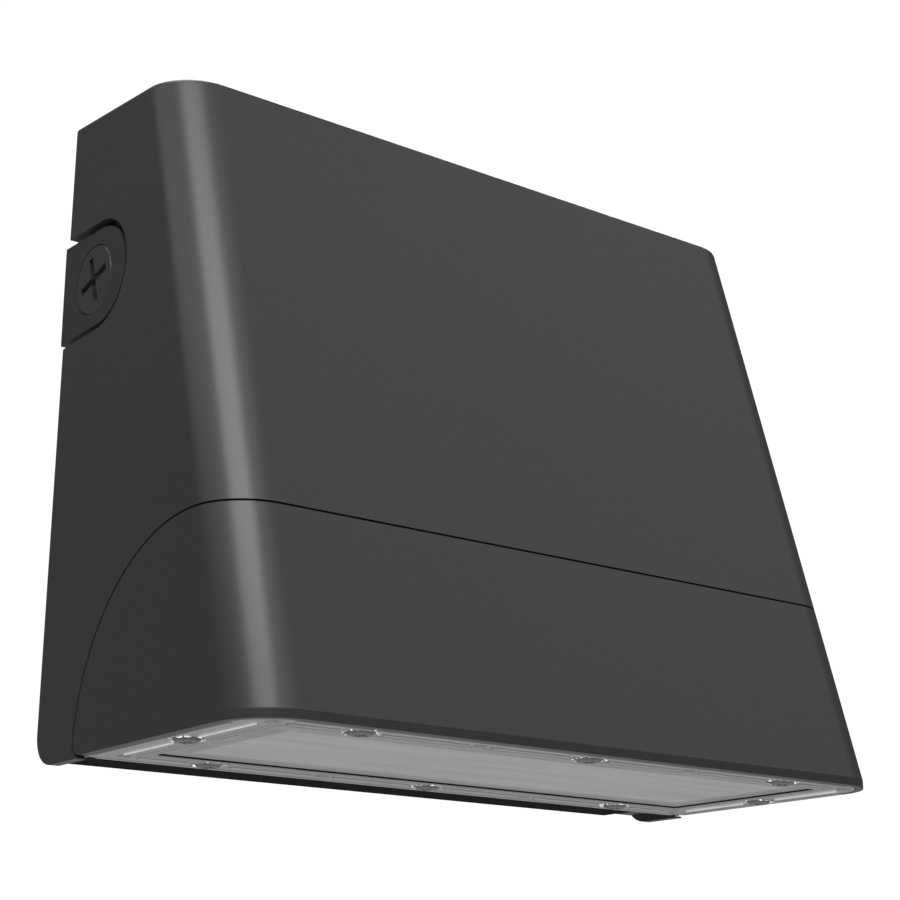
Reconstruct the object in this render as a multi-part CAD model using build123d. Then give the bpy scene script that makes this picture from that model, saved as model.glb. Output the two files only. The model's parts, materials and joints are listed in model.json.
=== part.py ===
"""Wall pack light: a wedge-shaped outdoor LED light that hinges open on its back box.

Millimetres, +Z up, the front faces -Y and the wall is the plane y = 0. The origin is the
middle of the two junction box slots, at mid height of the light.
"""
import os
from math import cos, radians, sin, tan

from build123d import *

# ---- Outer form --------------------------------------------------------------------------
HEIGHT = 195.4            # lens plane to the rear top edge
WIDTH = 226.0             # across the sides, at the lens plane
DEPTH_BOTTOM = 111.6      # rear edge of the cover to the front lip
DEPTH_TOP = 60.0          # rear edge of the cover to the front top edge
WALL_GAP = 3.0            # wall to the rear edge of the cover
SIDE_DRAFT = 0.35         # degrees, the sides lean in towards the top
TOP_SLOPE = 4.65          # degrees, the top sheds water to the front
CORNER_RADIUS = 15.6      # upright front corners
TOP_EDGE_RADIUS = 2.0
SHELL = 3.0               # cast wall
LIP_HEIGHT = 2.4          # upright lip round the underside
FOOT_DROP = 0.8           # the cover's sides reach this far below the lens
FOOT_RADIUS = 9.0         # rounding of the feet about the hinge axis
FOOT_WIDTH = 10.0         # thick part of each foot, round its hinge pin
FOOT_TOE = 2.4            # each foot runs this far forward under the light housing's heel

# ---- Parting line between cover and light housing -----------------------------------------
SEAM_HEIGHT = 57.0        # above the lens plane, also the radius of the side arc
SEAM_REAR = 21.5          # rear edge of the cover to the foot of the side arc
SEAM_GAP = 0.6
SEAM_GASKET_INSET = 1.0
HEEL_RADIUS = 4.0         # rear lower edge of the light housing
TONGUE_REACH = 4.0        # the light housing's tongue stands this far into the cover
TONGUE_THICKNESS = 2.0
TONGUE_CLEARANCE = 0.4

# ---- Conduit bosses -----------------------------------------------------------------------
BOSS_DROP = 55.0          # rear top edge down to the middle of the bosses
BOSS_Y = 22.4             # wall to the centre of the rounded front
BOSS_RADIUS = 15.0
BOSS_DRAFT = 1.5          # degrees
BOSS_INSET = 0.6          # boss face behind the cover's side
NOTCH_GAP = 2.0
PLUG_Y = 18.5             # wall to the plug axis
PLUG_RADIUS = 10.67       # 1/2 inch pipe thread
PLUG_LENGTH = 9.0
PLUG_CLEARANCE = 0.05
PLUG_SLOT_LENGTH = 15.0
PLUG_SLOT_WIDTH = 2.2
PLUG_SLOT_DEPTH = 2.0
PLUG_SLOT_TURN = -17.0    # degrees, where the tightened plugs came to rest
CONDUIT_BORE_RADIUS = 8.5 # wire way behind the plug

# ---- Back box -----------------------------------------------------------------------------
PLATE_SIDE_GAP = 0.8      # hinge lug's outer face to the plate's edge
PLATE_THICKNESS = 4.0
PLATE_TOP_GAP = 5.7
PLATE_LIFT = 1.8          # lower edge of the plate above the lens plane
RIM_DEPTH = 18.0          # lower edge strip, from the wall
RIM_THICKNESS = 3.0
RIM_END_GAP = 1.2         # rim to the end of each hinge pin
RIM_FLOOR_THICKNESS = 1.0 # the rim runs on this thick under the pins, out to the lugs
BOX_DEPTH = 40.0
BOX_SETBACK = 3.0         # plate's side edge to the box wall
BOX_TOP_DROP = 18.7
BOX_LIFT = 53.7           # lower box wall above the lens plane
BOX_WALL = 3.0
BOX_CORNER_RADIUS = 8.0
BOX_LAND = 7.0            # width of the gasket land
BOX_LAND_THICKNESS = 4.0
BOX_GASKET_WIDTH = 4.0
BOX_GASKET_GROOVE = 1.5
BOX_GASKET_HEIGHT = 4.9   # from the groove floor
WALL_GASKET_WIDTH = 6.0
WALL_GASKET_THICKNESS = 2.0
WALL_GASKET_INSET = 4.0
BOX_RIB_THICKNESS = 2.5

# ---- Wall mounts --------------------------------------------------------------------------
SLOT_SPACING = 88.9       # 3 1/2 inch, four inch octagon box
SLOT_RADIUS = 2.75
SLOT_LENGTH = 14.0
WIRE_ENTRY_RADIUS = 11.0
ANCHOR_EDGE = 14.6        # anchor hole to the outside of the box, sideways
ANCHOR_TOP_ROOM = 19.0    # and downwards from the top
ANCHOR_RADIUS = 3.5
PAD_RADIUS = 8.0          # thick pad round each anchor hole
PAD_HEIGHT = 3.0

# ---- Hinge --------------------------------------------------------------------------------
HINGE_PIN_RADIUS = 3.0
HINGE_PIN_GRIP = 7.0      # length of pin inside the foot
HINGE_RUNNING_FIT = 0.05
HINGE_PRESS_FIT = 0.01
LUG_WIDTH = 6.0
LUG_RADIUS = 6.3
LUG_GAP = 0.6             # lug to foot
CLIP_THICKNESS = 0.8
CLIP_RADIUS = 5.0
PIN_TAIL = 2.4            # length of pin that stands inside the lug
CLIP_SETBACK = 0.4

# ---- Closing screws -----------------------------------------------------------------------
CLOSING_X = 62.0
CLOSING_Y = 22.0          # wall to the screw axis
CLOSING_SHANK_RADIUS = 2.5
CLOSING_HEAD_RADIUS = 4.6
CLOSING_HEAD_HEIGHT = 3.2
CLOSING_LENGTH = 16.0
CLOSING_WASHER_RADIUS = 6.0
CLOSING_WASHER_THICKNESS = 1.0
CLOSING_TAB_DROP = 7.7
CLOSING_TAB_THICKNESS = 3.5
CLOSING_TAB_WIDTH = 18.0
CLOSING_TAB_REACH = 30.0
CLOSING_SLOT_CLEARANCE = 0.5
CLOSING_NUT_WIDTH = 9.0
CLOSING_NUT_THICKNESS = 3.2
CLOSING_NUT_GAP = 0.4
NUT_CHAMFER = 0.8

# ---- Light housing inside -----------------------------------------------------------------
LENS_MARGIN = 2.3         # lip round the lens
LENS_THICKNESS = 4.0
LENS_FIT = 0.3
LENS_REAR_RADIUS = 3.0
LENS_PANEL_INSET = 14.0
LENS_PANEL_FRONT_INSET = 10.3
LENS_PANEL_RECESS = 0.5
LENS_PANEL_RADIUS = 1.5
LENS_GASKET_THICKNESS = 1.5
LENS_GASKET_WIDTH = 3.0
LENS_GASKET_OFFSET = 0.5  # gasket to the chamber's edge
CHAMBER_INSET = 13.0
CHAMBER_HEIGHT = 8.5
DECK_THICKNESS = 3.0
ARC_WALL_END = 50.0       # wall plane to the front end of the rear arc wall
SEAM_SHELF_THICKNESS = 3.0
SEAM_SHELF_DROP = 2.0
FIN_COUNT = 9
FIN_PITCH = 16.0
FIN_THICKNESS = 2.0
FIN_HEIGHT = 11.0
FIN_END_GAP = 4.0

# ---- Lens screws and locating pips --------------------------------------------------------
LENS_SCREW_FRONT_INSET = 5.4
LENS_SCREW_REAR_INSET = 7.3
LENS_SCREW_SIDE_INSET = 6.3
LENS_SCREW_X = 76.0
LENS_SCREW_RADIUS = 2.0
LENS_SCREW_LENGTH = 10.0
LENS_SCREW_HEAD_RADIUS = 3.6
LENS_SCREW_HEAD_HEIGHT = 2.4
LENS_CUP_RADIUS = 4.2
LENS_CUP_DEPTH = 1.5
PIP_SIDE_INSET = 8.4
PIP_RADIUS = 1.8
PIP_HEIGHT = 0.5

# ---- Light engine -------------------------------------------------------------------------
PAD_SHEET_THICKNESS = 0.5
BOARD_END_GAP = 9.7       # board to the chamber's ends
BOARD_SIDE_GAP = 6.75     # board to the chamber's sides
BOARD_THICKNESS = 1.6
LED_COLUMNS = 12
LED_ROWS = 4
LED_END_MARGIN = 11.0     # board end to the first column
LED_PITCH_Y = 10.0
LED_SIZE = 3.5
LED_HEIGHT = 0.9
BOARD_SCREW_EDGE = 4.0
BOARD_SCREW_Y = 10.0      # each side of the board's middle
BOARD_SCREW_RADIUS = 1.5
BOARD_SCREW_HEAD_RADIUS = 2.7
BOARD_SCREW_HEAD_HEIGHT = 1.6
BOARD_SCREW_LENGTH = 7.0
BOARD_BOSS_RADIUS = 4.0
BOARD_BOSS_HEIGHT = 4.0
LEAD_HOLE_RADIUS = 3.6
CONNECTOR_LENGTH = 10.0
CONNECTOR_WIDTH = 7.0
CONNECTOR_HEIGHT = 3.4
REFLECTOR_FLARE = 2.5
REFLECTOR_GAP = 0.4
REFLECTOR_WALL_TOP = 2.0
DIFFUSER_THICKNESS = 1.5
DIFFUSER_GAP = 0.2
GROMMET_FLANGE = 1.6
GROMMET_FLANGE_RADIUS = 5.6
GROMMET_BORE_RADIUS = 2.7

# ---- Joining screws -----------------------------------------------------------------------
JOIN_SCREW_COUNT = 4
JOIN_SCREW_PITCH = 54.0
JOIN_SCREW_RISE = 11.0    # screw axis above the parting line
JOIN_SCREW_RADIUS = 2.0
JOIN_SCREW_HEAD_RADIUS = 3.6
JOIN_SCREW_HEAD_HEIGHT = 2.4
JOIN_SCREW_LENGTH = 10.0
JOIN_TAB_WIDTH = 14.0
JOIN_TAB_THICKNESS = 4.0
JOIN_BOSS_RADIUS = 5.0
JOIN_BOSS_LENGTH = 8.0

# ---- Driver tray and driver ---------------------------------------------------------------
TRAY_THICKNESS = 1.5
TRAY_GASKET_GAP = 0.4     # back box gasket to the closed tray
TRAY_SIDE_GAP = 4.0       # tray to the inside of the cover
TRAY_UPPER_OVERLAP = 7.0  # tray past the box, above
TRAY_LOWER_OVERLAP = 3.0
TRAY_FLANGE = 8.0         # stiffening flange along the lower edge
TRAY_SCREW_EDGE = 4.5
TRAY_SCREW_LOW_RISE = 13.0     # lowest screws above the tray's lower edge
TRAY_SCREW_BOSS_DROP = 30.7    # middle screws below the conduit bosses
TRAY_SCREW_TOP_DROP = 7.0      # highest screws below the tray's upper edge
TRAY_SCREW_RADIUS = 2.0
TRAY_SCREW_HEAD_RADIUS = 3.6
TRAY_SCREW_HEAD_HEIGHT = 2.2
TRAY_SCREW_LENGTH = 9.0
TRAY_BOSS_HALF = 5.5
TRAY_BOSS_LENGTH = 13.0
DRIVER_LENGTH = 146.0
DRIVER_HEIGHT = 42.0
DRIVER_DEPTH = 27.0
DRIVER_RISE = 47.0        # middle of the driver above the tray's lower edge
DRIVER_EDGE_RADIUS = 2.0
DRIVER_FLANGE_LENGTH = 10.0
DRIVER_FLANGE_THICKNESS = 2.0
DRIVER_SCREW_RADIUS = 2.0
DRIVER_SCREW_HEAD_RADIUS = 3.4
DRIVER_SCREW_HEAD_HEIGHT = 2.0
DRIVER_SCREW_LENGTH = 3.2
DRIVER_SCREW_Z = 12.0
SOCKET_X = -60.0
SOCKET_DROP = 36.0        # middle of the socket below the tray's upper edge
SOCKET_LENGTH = 22.0
SOCKET_HEIGHT = 14.0
SOCKET_DEPTH = 9.0
SOCKET_REAR = 2.0         # part of the socket behind the tray
SOCKET_FLANGE = 2.5
SOCKET_FIT = 0.2
SOCKET_PIN_COUNT = 3
SOCKET_PIN_PITCH = 6.0
SOCKET_PIN_RADIUS = 1.6
LEAD_RADIUS = 1.1
LEAD_SPACING = 3.0
LEAD_BOSS_GAP = 2.0       # middle of an output lead to the tray screw bosses
LEAD_OVER_DRIVER = 7.0    # input leads pass this far above the driver
LEAD_SQUARE_RUN = 9.0     # straight end of a lead at a terminal, driver or surge protector
LEAD_BULGE = 14.0         # reach of the input leads in front of the socket
SURGE_LEAD_RISE = 26.0    # the longest surge lead above the surge protector

# ---- Parts inside the back box --------------------------------------------------------------
TERMINAL_SIDE_ROOM = 19.0 # terminal block to the box wall
TERMINAL_RISE = 22.0      # its middle above the lower box wall
TERMINAL_LENGTH = 48.0
TERMINAL_HEIGHT = 20.0
TERMINAL_DEPTH = 16.0
TERMINAL_POLES = 3
TERMINAL_POLE_PITCH = 12.0
TERMINAL_WELL_RADIUS = 3.2
TERMINAL_WELL_DEPTH = 4.0
TERMINAL_CLAMP_RADIUS = 2.6
TERMINAL_CLAMP_LENGTH = 5.0
SMALL_SCREW_RADIUS = 1.75
SMALL_SCREW_HEAD_RADIUS = 3.2
SMALL_SCREW_HEAD_HEIGHT = 2.0
SMALL_SCREW_LENGTH = 4.5
SMALL_SCREW_BITE = 3.0    # depth of the blind holes in the plate
TERMINAL_SCREW_INSET = 4.0
TERMINAL_EAR_THICKNESS = 1.5
SURGE_SIDE_ROOM = 6.0
SURGE_RISE = 24.0
SURGE_LENGTH = 46.0
SURGE_HEIGHT = 28.0
SURGE_DEPTH = 20.0
SURGE_EDGE_RADIUS = 2.0
SURGE_EAR_LENGTH = 8.0
SURGE_EAR_THICKNESS = 2.0
GROUND_X = 24.0
GROUND_DROP = 35.0        # ground screw below the top of the box
GROUND_SCREW_RADIUS = 2.5
GROUND_SCREW_HEAD_RADIUS = 4.8
GROUND_SCREW_HEAD_HEIGHT = 2.6
GROUND_PAD_HEIGHT = 4.0
GROUND_PAD_RADIUS = 7.0
GROUND_SCREW_LENGTH = 6.0
GROUND_SCREW_STANDOFF = 2.0

# ---- Fits and general ---------------------------------------------------------------------
SCREW_CLEARANCE = 0.3     # radial, in the piece that is clamped
THREAD_FIT = 0.05         # radial, in the piece that holds the thread
BLIND_EXTRA = 1.0         # a threaded hole runs this far past its screw
DRIVE_WIDTH = 0.9         # cross recess of the screw heads
FAR = 300.0               # reaches past everything

# ---- Derived places ------------------------------------------------------------------------
TOP_Z = HEIGHT / 2
LENS_Z = -HEIGHT / 2
REAR_Y = -WALL_GAP
FRONT_Y = REAR_Y - DEPTH_BOTTOM
TOP_FRONT_Y = REAR_Y - DEPTH_TOP
TOP_FRONT_Z = TOP_Z - DEPTH_TOP * tan(radians(TOP_SLOPE))
LIP_Z = LENS_Z + LIP_HEIGHT
FOOT_Z = LENS_Z - FOOT_DROP
SEAM_Z = LENS_Z + SEAM_HEIGHT
SEAM_FOOT_Y = REAR_Y - SEAM_REAR
SEAM_CENTRE_Y = SEAM_FOOT_Y - SEAM_HEIGHT
HEEL_Y = SEAM_FOOT_Y - HEEL_RADIUS
HEEL_Z = LENS_Z + HEEL_RADIUS
BOSS_Z = TOP_Z - BOSS_DROP
HINGE_Y = REAR_Y - FOOT_RADIUS
HINGE_Z = FOOT_Z + FOOT_RADIUS
PLATE_BOTTOM = LENS_Z + PLATE_LIFT
LUG_OUTER = WIDTH / 2 - FOOT_WIDTH - LUG_GAP
LUG_INNER = LUG_OUTER - LUG_WIDTH
HINGE_PIN_OUTER = WIDTH / 2 - FOOT_WIDTH + HINGE_PIN_GRIP
HINGE_PIN_INNER = LUG_INNER - PIN_TAIL
PLATE_HALF_WIDTH = LUG_OUTER - PLATE_SIDE_GAP
PLATE_TOP = TOP_Z - PLATE_TOP_GAP
BOX_HALF_WIDTH = PLATE_HALF_WIDTH - BOX_SETBACK
BOX_TOP = TOP_Z - BOX_TOP_DROP
BOX_BOTTOM = LENS_Z + BOX_LIFT
ANCHOR_SPACING_X = 2 * (BOX_HALF_WIDTH - ANCHOR_EDGE)
ANCHOR_SPACING_Z = 2 * (BOX_TOP - ANCHOR_TOP_ROOM)
CLOSING_TAB_TOP = TOP_Z - CLOSING_TAB_DROP

LENS_HALF_WIDTH = WIDTH / 2 - LENS_MARGIN
LENS_FRONT_Y = FRONT_Y + LENS_MARGIN
LENS_REAR_Y = SEAM_FOOT_Y - LENS_MARGIN
LENS_MIDDLE_Y = (LENS_FRONT_Y + LENS_REAR_Y) / 2
LENS_FRONT_ROW_Y = LENS_FRONT_Y + LENS_SCREW_FRONT_INSET
LENS_REAR_ROW_Y = LENS_REAR_Y - LENS_SCREW_REAR_INSET
LENS_TOP_Z = LENS_Z + LENS_THICKNESS
LEDGE_Z = LENS_TOP_Z + LENS_GASKET_THICKNESS
DECK_BOTTOM_Z = LEDGE_Z + CHAMBER_HEIGHT
DECK_TOP_Z = DECK_BOTTOM_Z + DECK_THICKNESS
BOARD_TOP_Z = DECK_BOTTOM_Z - PAD_SHEET_THICKNESS
BOARD_BOTTOM_Z = BOARD_TOP_Z - BOARD_THICKNESS
BOARD_LENGTH = 2 * (LENS_HALF_WIDTH - CHAMBER_INSET - BOARD_END_GAP)
BOARD_WIDTH = LENS_REAR_Y - LENS_FRONT_Y - 2 * (CHAMBER_INSET + BOARD_SIDE_GAP)
BOARD_SCREW_X = BOARD_LENGTH / 2 - BOARD_SCREW_EDGE
LED_PITCH_X = (BOARD_LENGTH - 2 * LED_END_MARGIN) / (LED_COLUMNS - 1)

GASKET_FRONT_Y = -BOX_DEPTH + BOX_GASKET_GROOVE - BOX_GASKET_HEIGHT
TRAY_REAR_Y = GASKET_FRONT_Y - TRAY_GASKET_GAP
TRAY_FRONT_Y = TRAY_REAR_Y - TRAY_THICKNESS
TRAY_HALF_WIDTH = WIDTH / 2 - SHELL - TRAY_SIDE_GAP
TRAY_TOP = BOX_TOP + TRAY_UPPER_OVERLAP
TRAY_BOTTOM = BOX_BOTTOM - TRAY_LOWER_OVERLAP
TRAY_SCREW_X = TRAY_HALF_WIDTH - TRAY_SCREW_EDGE
TRAY_SCREW_HEIGHTS = (
    TRAY_BOTTOM + TRAY_SCREW_LOW_RISE,
    BOSS_Z - TRAY_SCREW_BOSS_DROP,
    TRAY_TOP - TRAY_SCREW_TOP_DROP,
)
TRAY_BOSS_INNER = TRAY_SCREW_X - TRAY_BOSS_HALF
DRIVER_Z = TRAY_BOTTOM + DRIVER_RISE
SOCKET_Z = TRAY_TOP - SOCKET_DROP
TERMINAL_X = BOX_HALF_WIDTH - BOX_WALL - TERMINAL_SIDE_ROOM - TERMINAL_LENGTH / 2
TERMINAL_Z = BOX_BOTTOM + TERMINAL_RISE
SURGE_X = BOX_WALL + SURGE_SIDE_ROOM + SURGE_LENGTH / 2 + SURGE_EAR_LENGTH - BOX_HALF_WIDTH
SURGE_Z = BOX_BOTTOM + SURGE_RISE
GROUND_Z = BOX_TOP - GROUND_DROP
JOIN_TAB_Z = SEAM_Z + JOIN_SCREW_RISE

FRONT_LEAN = (FRONT_Y - TOP_FRONT_Y) / (LIP_Z - TOP_FRONT_Z)


# ---- Helpers --------------------------------------------------------------------------------
def front_y(z):
    """The front face at height z."""
    return TOP_FRONT_Y + (z - TOP_FRONT_Z) * FRONT_LEAN


def top_z(y):
    """The top face at depth y."""
    return TOP_Z + (y - REAR_Y) * tan(radians(TOP_SLOPE))


def half_width(z):
    """Half the width of the housing at height z."""
    return WIDTH / 2 - (z - LENS_Z) * tan(radians(SIDE_DRAFT))


def block(x, y, z):
    """A block between the two values given for each axis."""
    spans = (sorted(x), sorted(y), sorted(z))
    middle = [(low + high) / 2 for low, high in spans]
    return Pos(*middle) * Box(*(high - low for low, high in spans))


def rod_x(y, z, ends, radius):
    low, high = sorted(ends)
    return Pos((low + high) / 2, y, z) * Rot(0, 90, 0) * Cylinder(radius, high - low)


def rod_y(x, z, ends, radius):
    low, high = sorted(ends)
    return Pos(x, (low + high) / 2, z) * Rot(90, 0, 0) * Cylinder(radius, high - low)


def rod_z(x, y, ends, radius):
    low, high = sorted(ends)
    return Pos(x, y, (low + high) / 2) * Cylinder(radius, high - low)


def both_sides(shape):
    """The shape and its mirror image across the middle of the light."""
    return [shape, mirror(shape, about=Plane.YZ)]


def cut_all(body, tools):
    for tool in tools:
        body = body - tool
    return body


def join_all(body, pieces):
    for piece in pieces:
        body = body + piece
    return body


def side_extrusion(face):
    """A side view drawn as (y, z), run right across the light."""
    return extrude(Plane.YZ * face, FAR, both=True)


def rounded_plate(half_width_x, y_span, z_span, radius):
    """A block with its four edges along Y rounded."""
    plate = block((-half_width_x, half_width_x), y_span, z_span)
    return fillet(plate.edges().filter_by(Axis.Y), radius)


def plan_plate(inset, z_span, front_radius, rear_radius, front_inset=None):
    """A plate in the lens opening's outline, smaller by inset on every side.

    The front edge has its own inset where one is given.
    """
    half = LENS_HALF_WIDTH - inset
    front = LENS_FRONT_Y + (inset if front_inset is None else front_inset)
    plate = block((-half, half), (front, LENS_REAR_Y - inset), z_span)
    uprights = plate.edges().filter_by(Axis.Z).sort_by(Axis.Y)
    plate = fillet(uprights[:2], front_radius)
    uprights = plate.edges().filter_by(Axis.Z).sort_by(Axis.Y)
    return fillet(uprights[-2:], rear_radius)


def screw(radius, length, head_radius, head_height):
    """A pan head screw, shank along -Z from the origin, head above it."""
    shank = rod_z(0, 0, (-length, 0), radius)
    head = rod_z(0, 0, (0, head_height), head_radius)
    head = fillet(head.edges().sort_by(Axis.Z)[-1], head_height * 0.4)
    reach = head_radius * 0.55
    recess_floor = head_height * 0.45
    for long_x, long_y in ((reach, DRIVE_WIDTH / 2), (DRIVE_WIDTH / 2, reach)):
        head = head - block((-long_x, long_x), (-long_y, long_y), (recess_floor, head_height))
    return head + shank


UP = Rot(180, 0, 0)       # head below, shank pointing up
FORWARD = Rot(-90, 0, 0)  # head towards the wall, shank pointing to the front
BACK = Rot(90, 0, 0)      # head to the front, shank pointing to the wall


def export(shape, name):
    """Writes one node, as a single solid or as a group of separate solids."""
    if isinstance(shape, (list, tuple)):
        solids = [solid for piece in shape for solid in piece.solids()]
        shape = Compound(children=solids) if len(solids) > 1 else solids[0]
    export_step(shape, f"parts/{name}.step")


# ---- Shared outlines ------------------------------------------------------------------------
def wedge(inset=0.0, rear_y=REAR_Y, bottom_z=LENS_Z):
    """The housing's outer form, moved in by inset at the front, sides and top."""
    profile = Polyline(
        (rear_y + inset, LIP_Z - inset),
        (rear_y + inset, top_z(rear_y + inset)),
        (TOP_FRONT_Y, TOP_FRONT_Z),
        (front_y(LIP_Z - inset), LIP_Z - inset),
        close=True,
    )
    profile = make_face(profile)
    if inset:
        profile = offset(profile, -inset, kind=Kind.INTERSECTION)
    low, high = LIP_Z - SHELL, TOP_Z + SHELL
    width = Polyline(
        (-half_width(low) + inset, low),
        (half_width(low) - inset, low),
        (half_width(high) - inset, high),
        (-half_width(high) + inset, high),
        close=True,
    )
    across = extrude(Plane.XZ * make_face(width), FAR, both=True)
    body = side_extrusion(profile) & across
    uprights = [edge for edge in body.edges() if abs((edge @ 1 - edge @ 0).Z) > HEIGHT / 2]
    uprights.sort(key=lambda edge: edge.center().Y)
    body = fillet(uprights[:2], max(CORNER_RADIUS - inset, 1.0))
    floor = body.faces().sort_by(Axis.Z)[0]
    return body + extrude(floor, LIP_Z - bottom_z, dir=(0, 0, -1))


def light_zone(grow=0.0):
    """All that lies below and in front of the parting line, seen from the side."""
    radius = SEAM_HEIGHT + grow
    arc = Pos(SEAM_CENTRE_Y, LENS_Z) * Circle(radius)
    front = Pos(SEAM_CENTRE_Y - FAR / 2, LENS_Z + radius - FAR / 2) * Rectangle(FAR, FAR)
    below = Pos(SEAM_CENTRE_Y + radius - FAR / 2, LENS_Z - FAR / 2) * Rectangle(FAR, FAR)
    return side_extrusion(arc + front + below)


def boss_outline(grow=0.0):
    """The D shape of a conduit boss in side view, rounded to the front."""
    radius = BOSS_RADIUS + grow
    spread = BOSS_Y * tan(radians(BOSS_DRAFT))
    nose = Pos(-BOSS_Y, BOSS_Z) * Circle(radius)
    tail = make_face(Polyline(
        (-BOSS_Y, BOSS_Z - radius),
        (-BOSS_Y, BOSS_Z + radius),
        (0, BOSS_Z + radius + spread),
        (0, BOSS_Z - radius - spread),
        close=True,
    ))
    return nose + tail


def lens_screw_places():
    """Three along the front, three along the rear and one at each side."""
    row_ys = (LENS_FRONT_ROW_Y, LENS_REAR_ROW_Y)
    side = LENS_HALF_WIDTH - LENS_SCREW_SIDE_INSET
    rows = [(x, y) for y in row_ys for x in (-LENS_SCREW_X, 0, LENS_SCREW_X)]
    middle = sum(row_ys) / 2
    return rows + [(-side, middle), (side, middle)]


def pip_places():
    outer, inner = LENS_HALF_WIDTH - PIP_SIDE_INSET, LENS_SCREW_X / 2
    rows = (LENS_FRONT_ROW_Y, LENS_REAR_ROW_Y)
    return [(x, y) for y in rows for x in (-outer, -inner, inner, outer)]


def board_screw_places():
    offsets = (-BOARD_SCREW_Y, BOARD_SCREW_Y)
    columns = (-BOARD_SCREW_X, 0, BOARD_SCREW_X)
    return [(x, LENS_MIDDLE_Y + dy) for x in columns for dy in offsets]


def join_columns():
    first = -JOIN_SCREW_PITCH * (JOIN_SCREW_COUNT - 1) / 2
    return [first + JOIN_SCREW_PITCH * i for i in range(JOIN_SCREW_COUNT)]


def join_face_y():
    """Where the cover's joining bosses meet the light housing's tabs."""
    return front_y(JOIN_TAB_Z) + SHELL + JOIN_BOSS_LENGTH


def tray_screw_places():
    return [(side * TRAY_SCREW_X, z) for side in (-1, 1) for z in TRAY_SCREW_HEIGHTS]


def anchor_places():
    xs = (-ANCHOR_SPACING_X / 2, ANCHOR_SPACING_X / 2)
    zs = (-ANCHOR_SPACING_Z / 2, ANCHOR_SPACING_Z / 2)
    return [(x, z) for x in xs for z in zs]


# ---- Front half: cover and light housing ------------------------------------------------------
def upper_cover():
    outer = wedge(bottom_z=FOOT_Z)
    top = outer.faces().sort_by(Axis.Z)[-1]
    rim = [edge for edge in top.edges() if edge.center().Y < REAR_Y - 1]
    outer = fillet(rim, TOP_EDGE_RADIUS)
    shell = outer - wedge(inset=SHELL, rear_y=FOOT_RADIUS, bottom_z=FOOT_Z - FOOT_RADIUS)
    foot_x = (WIDTH / 2 - FOOT_WIDTH, WIDTH)
    foot = block(foot_x, (FRONT_Y, REAR_Y), (PLATE_BOTTOM, HINGE_Z + 2 * FOOT_RADIUS))
    shell = join_all(shell, [outer & side for side in both_sides(foot)])
    tray_boss_x = (TRAY_BOSS_INNER, WIDTH)
    tray_boss_y = (TRAY_FRONT_Y, TRAY_FRONT_Y - TRAY_BOSS_LENGTH)
    for z in TRAY_SCREW_HEIGHTS:
        boss = block(tray_boss_x, tray_boss_y, (z - TRAY_BOSS_HALF, z + TRAY_BOSS_HALF))
        shell = join_all(shell, [outer & side for side in both_sides(boss)])
    for x in join_columns():
        boss = rod_y(x, JOIN_TAB_Z, (front_y(JOIN_TAB_Z), join_face_y()), JOIN_BOSS_RADIUS)
        shell = shell + (boss & outer)
    shell = shell - (light_zone(SEAM_GAP) - foot_toe())
    corner = block((-WIDTH, WIDTH), (HINGE_Y, 0), (FOOT_Z - 1, HINGE_Z))
    shell = shell - (corner - rod_x(HINGE_Y, HINGE_Z, (-WIDTH, WIDTH), FOOT_RADIUS))
    notch = side_extrusion(boss_outline(NOTCH_GAP))
    notch = notch & block((TRAY_HALF_WIDTH, FAR), (-FAR, FAR), (-FAR, FAR))
    shell = cut_all(shell, both_sides(notch))
    pin_hole = rod_x(HINGE_Y, HINGE_Z, (LUG_OUTER, HINGE_PIN_OUTER + BLIND_EXTRA),
                     HINGE_PIN_RADIUS + HINGE_RUNNING_FIT)
    shell = cut_all(shell, both_sides(pin_hole))
    for x, z in tray_screw_places():
        depth = TRAY_SCREW_LENGTH - TRAY_THICKNESS + BLIND_EXTRA
        shell = shell - rod_y(x, z, (TRAY_FRONT_Y, TRAY_FRONT_Y - depth),
                              TRAY_SCREW_RADIUS + THREAD_FIT)
    for x in join_columns():
        depth = JOIN_SCREW_LENGTH - JOIN_TAB_THICKNESS + BLIND_EXTRA
        shell = shell - rod_y(x, JOIN_TAB_Z, (join_face_y(), join_face_y() - depth),
                              JOIN_SCREW_RADIUS + THREAD_FIT)
    for side in (-1, 1):
        seat = closing_seat_z()
        x = side * CLOSING_X
        shell = shell - rod_z(x, -CLOSING_Y, (CLOSING_TAB_TOP, FAR),
                              CLOSING_SHANK_RADIUS + SCREW_CLEARANCE)
        shell = shell - rod_z(x, -CLOSING_Y, (seat, FAR), CLOSING_WASHER_RADIUS + SCREW_CLEARANCE)
    return shell


def foot_toe():
    """The room under the light housing's heel that the cover's feet reach into."""
    toe = block((-WIDTH, WIDTH), (SEAM_FOOT_Y - FOOT_TOE, SEAM_FOOT_Y + SEAM_GAP),
                (FOOT_Z - 1, HEEL_Z))
    return toe - rod_x(HEEL_Y, HEEL_Z, (-WIDTH, WIDTH), HEEL_RADIUS + SEAM_GAP)


def housing_tongue():
    """A thin lip that stands inside the cover all along the parting line."""
    keep = block((-FAR, FAR), (-FAR, FAR), (HINGE_Z + 3 * FOOT_RADIUS, FAR))
    inside = wedge(SHELL + TONGUE_CLEARANCE, rear_y=0, bottom_z=LENS_Z)
    core = wedge(SHELL + TONGUE_CLEARANCE + TONGUE_THICKNESS, rear_y=0, bottom_z=LENS_Z)
    upper = (inside - core) & (light_zone(TONGUE_REACH) - light_zone())
    root_zone = light_zone() - light_zone(-TONGUE_REACH)
    root = (wedge(SHELL, rear_y=0, bottom_z=LENS_Z) - core) & root_zone
    return (upper + root) & keep


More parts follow.
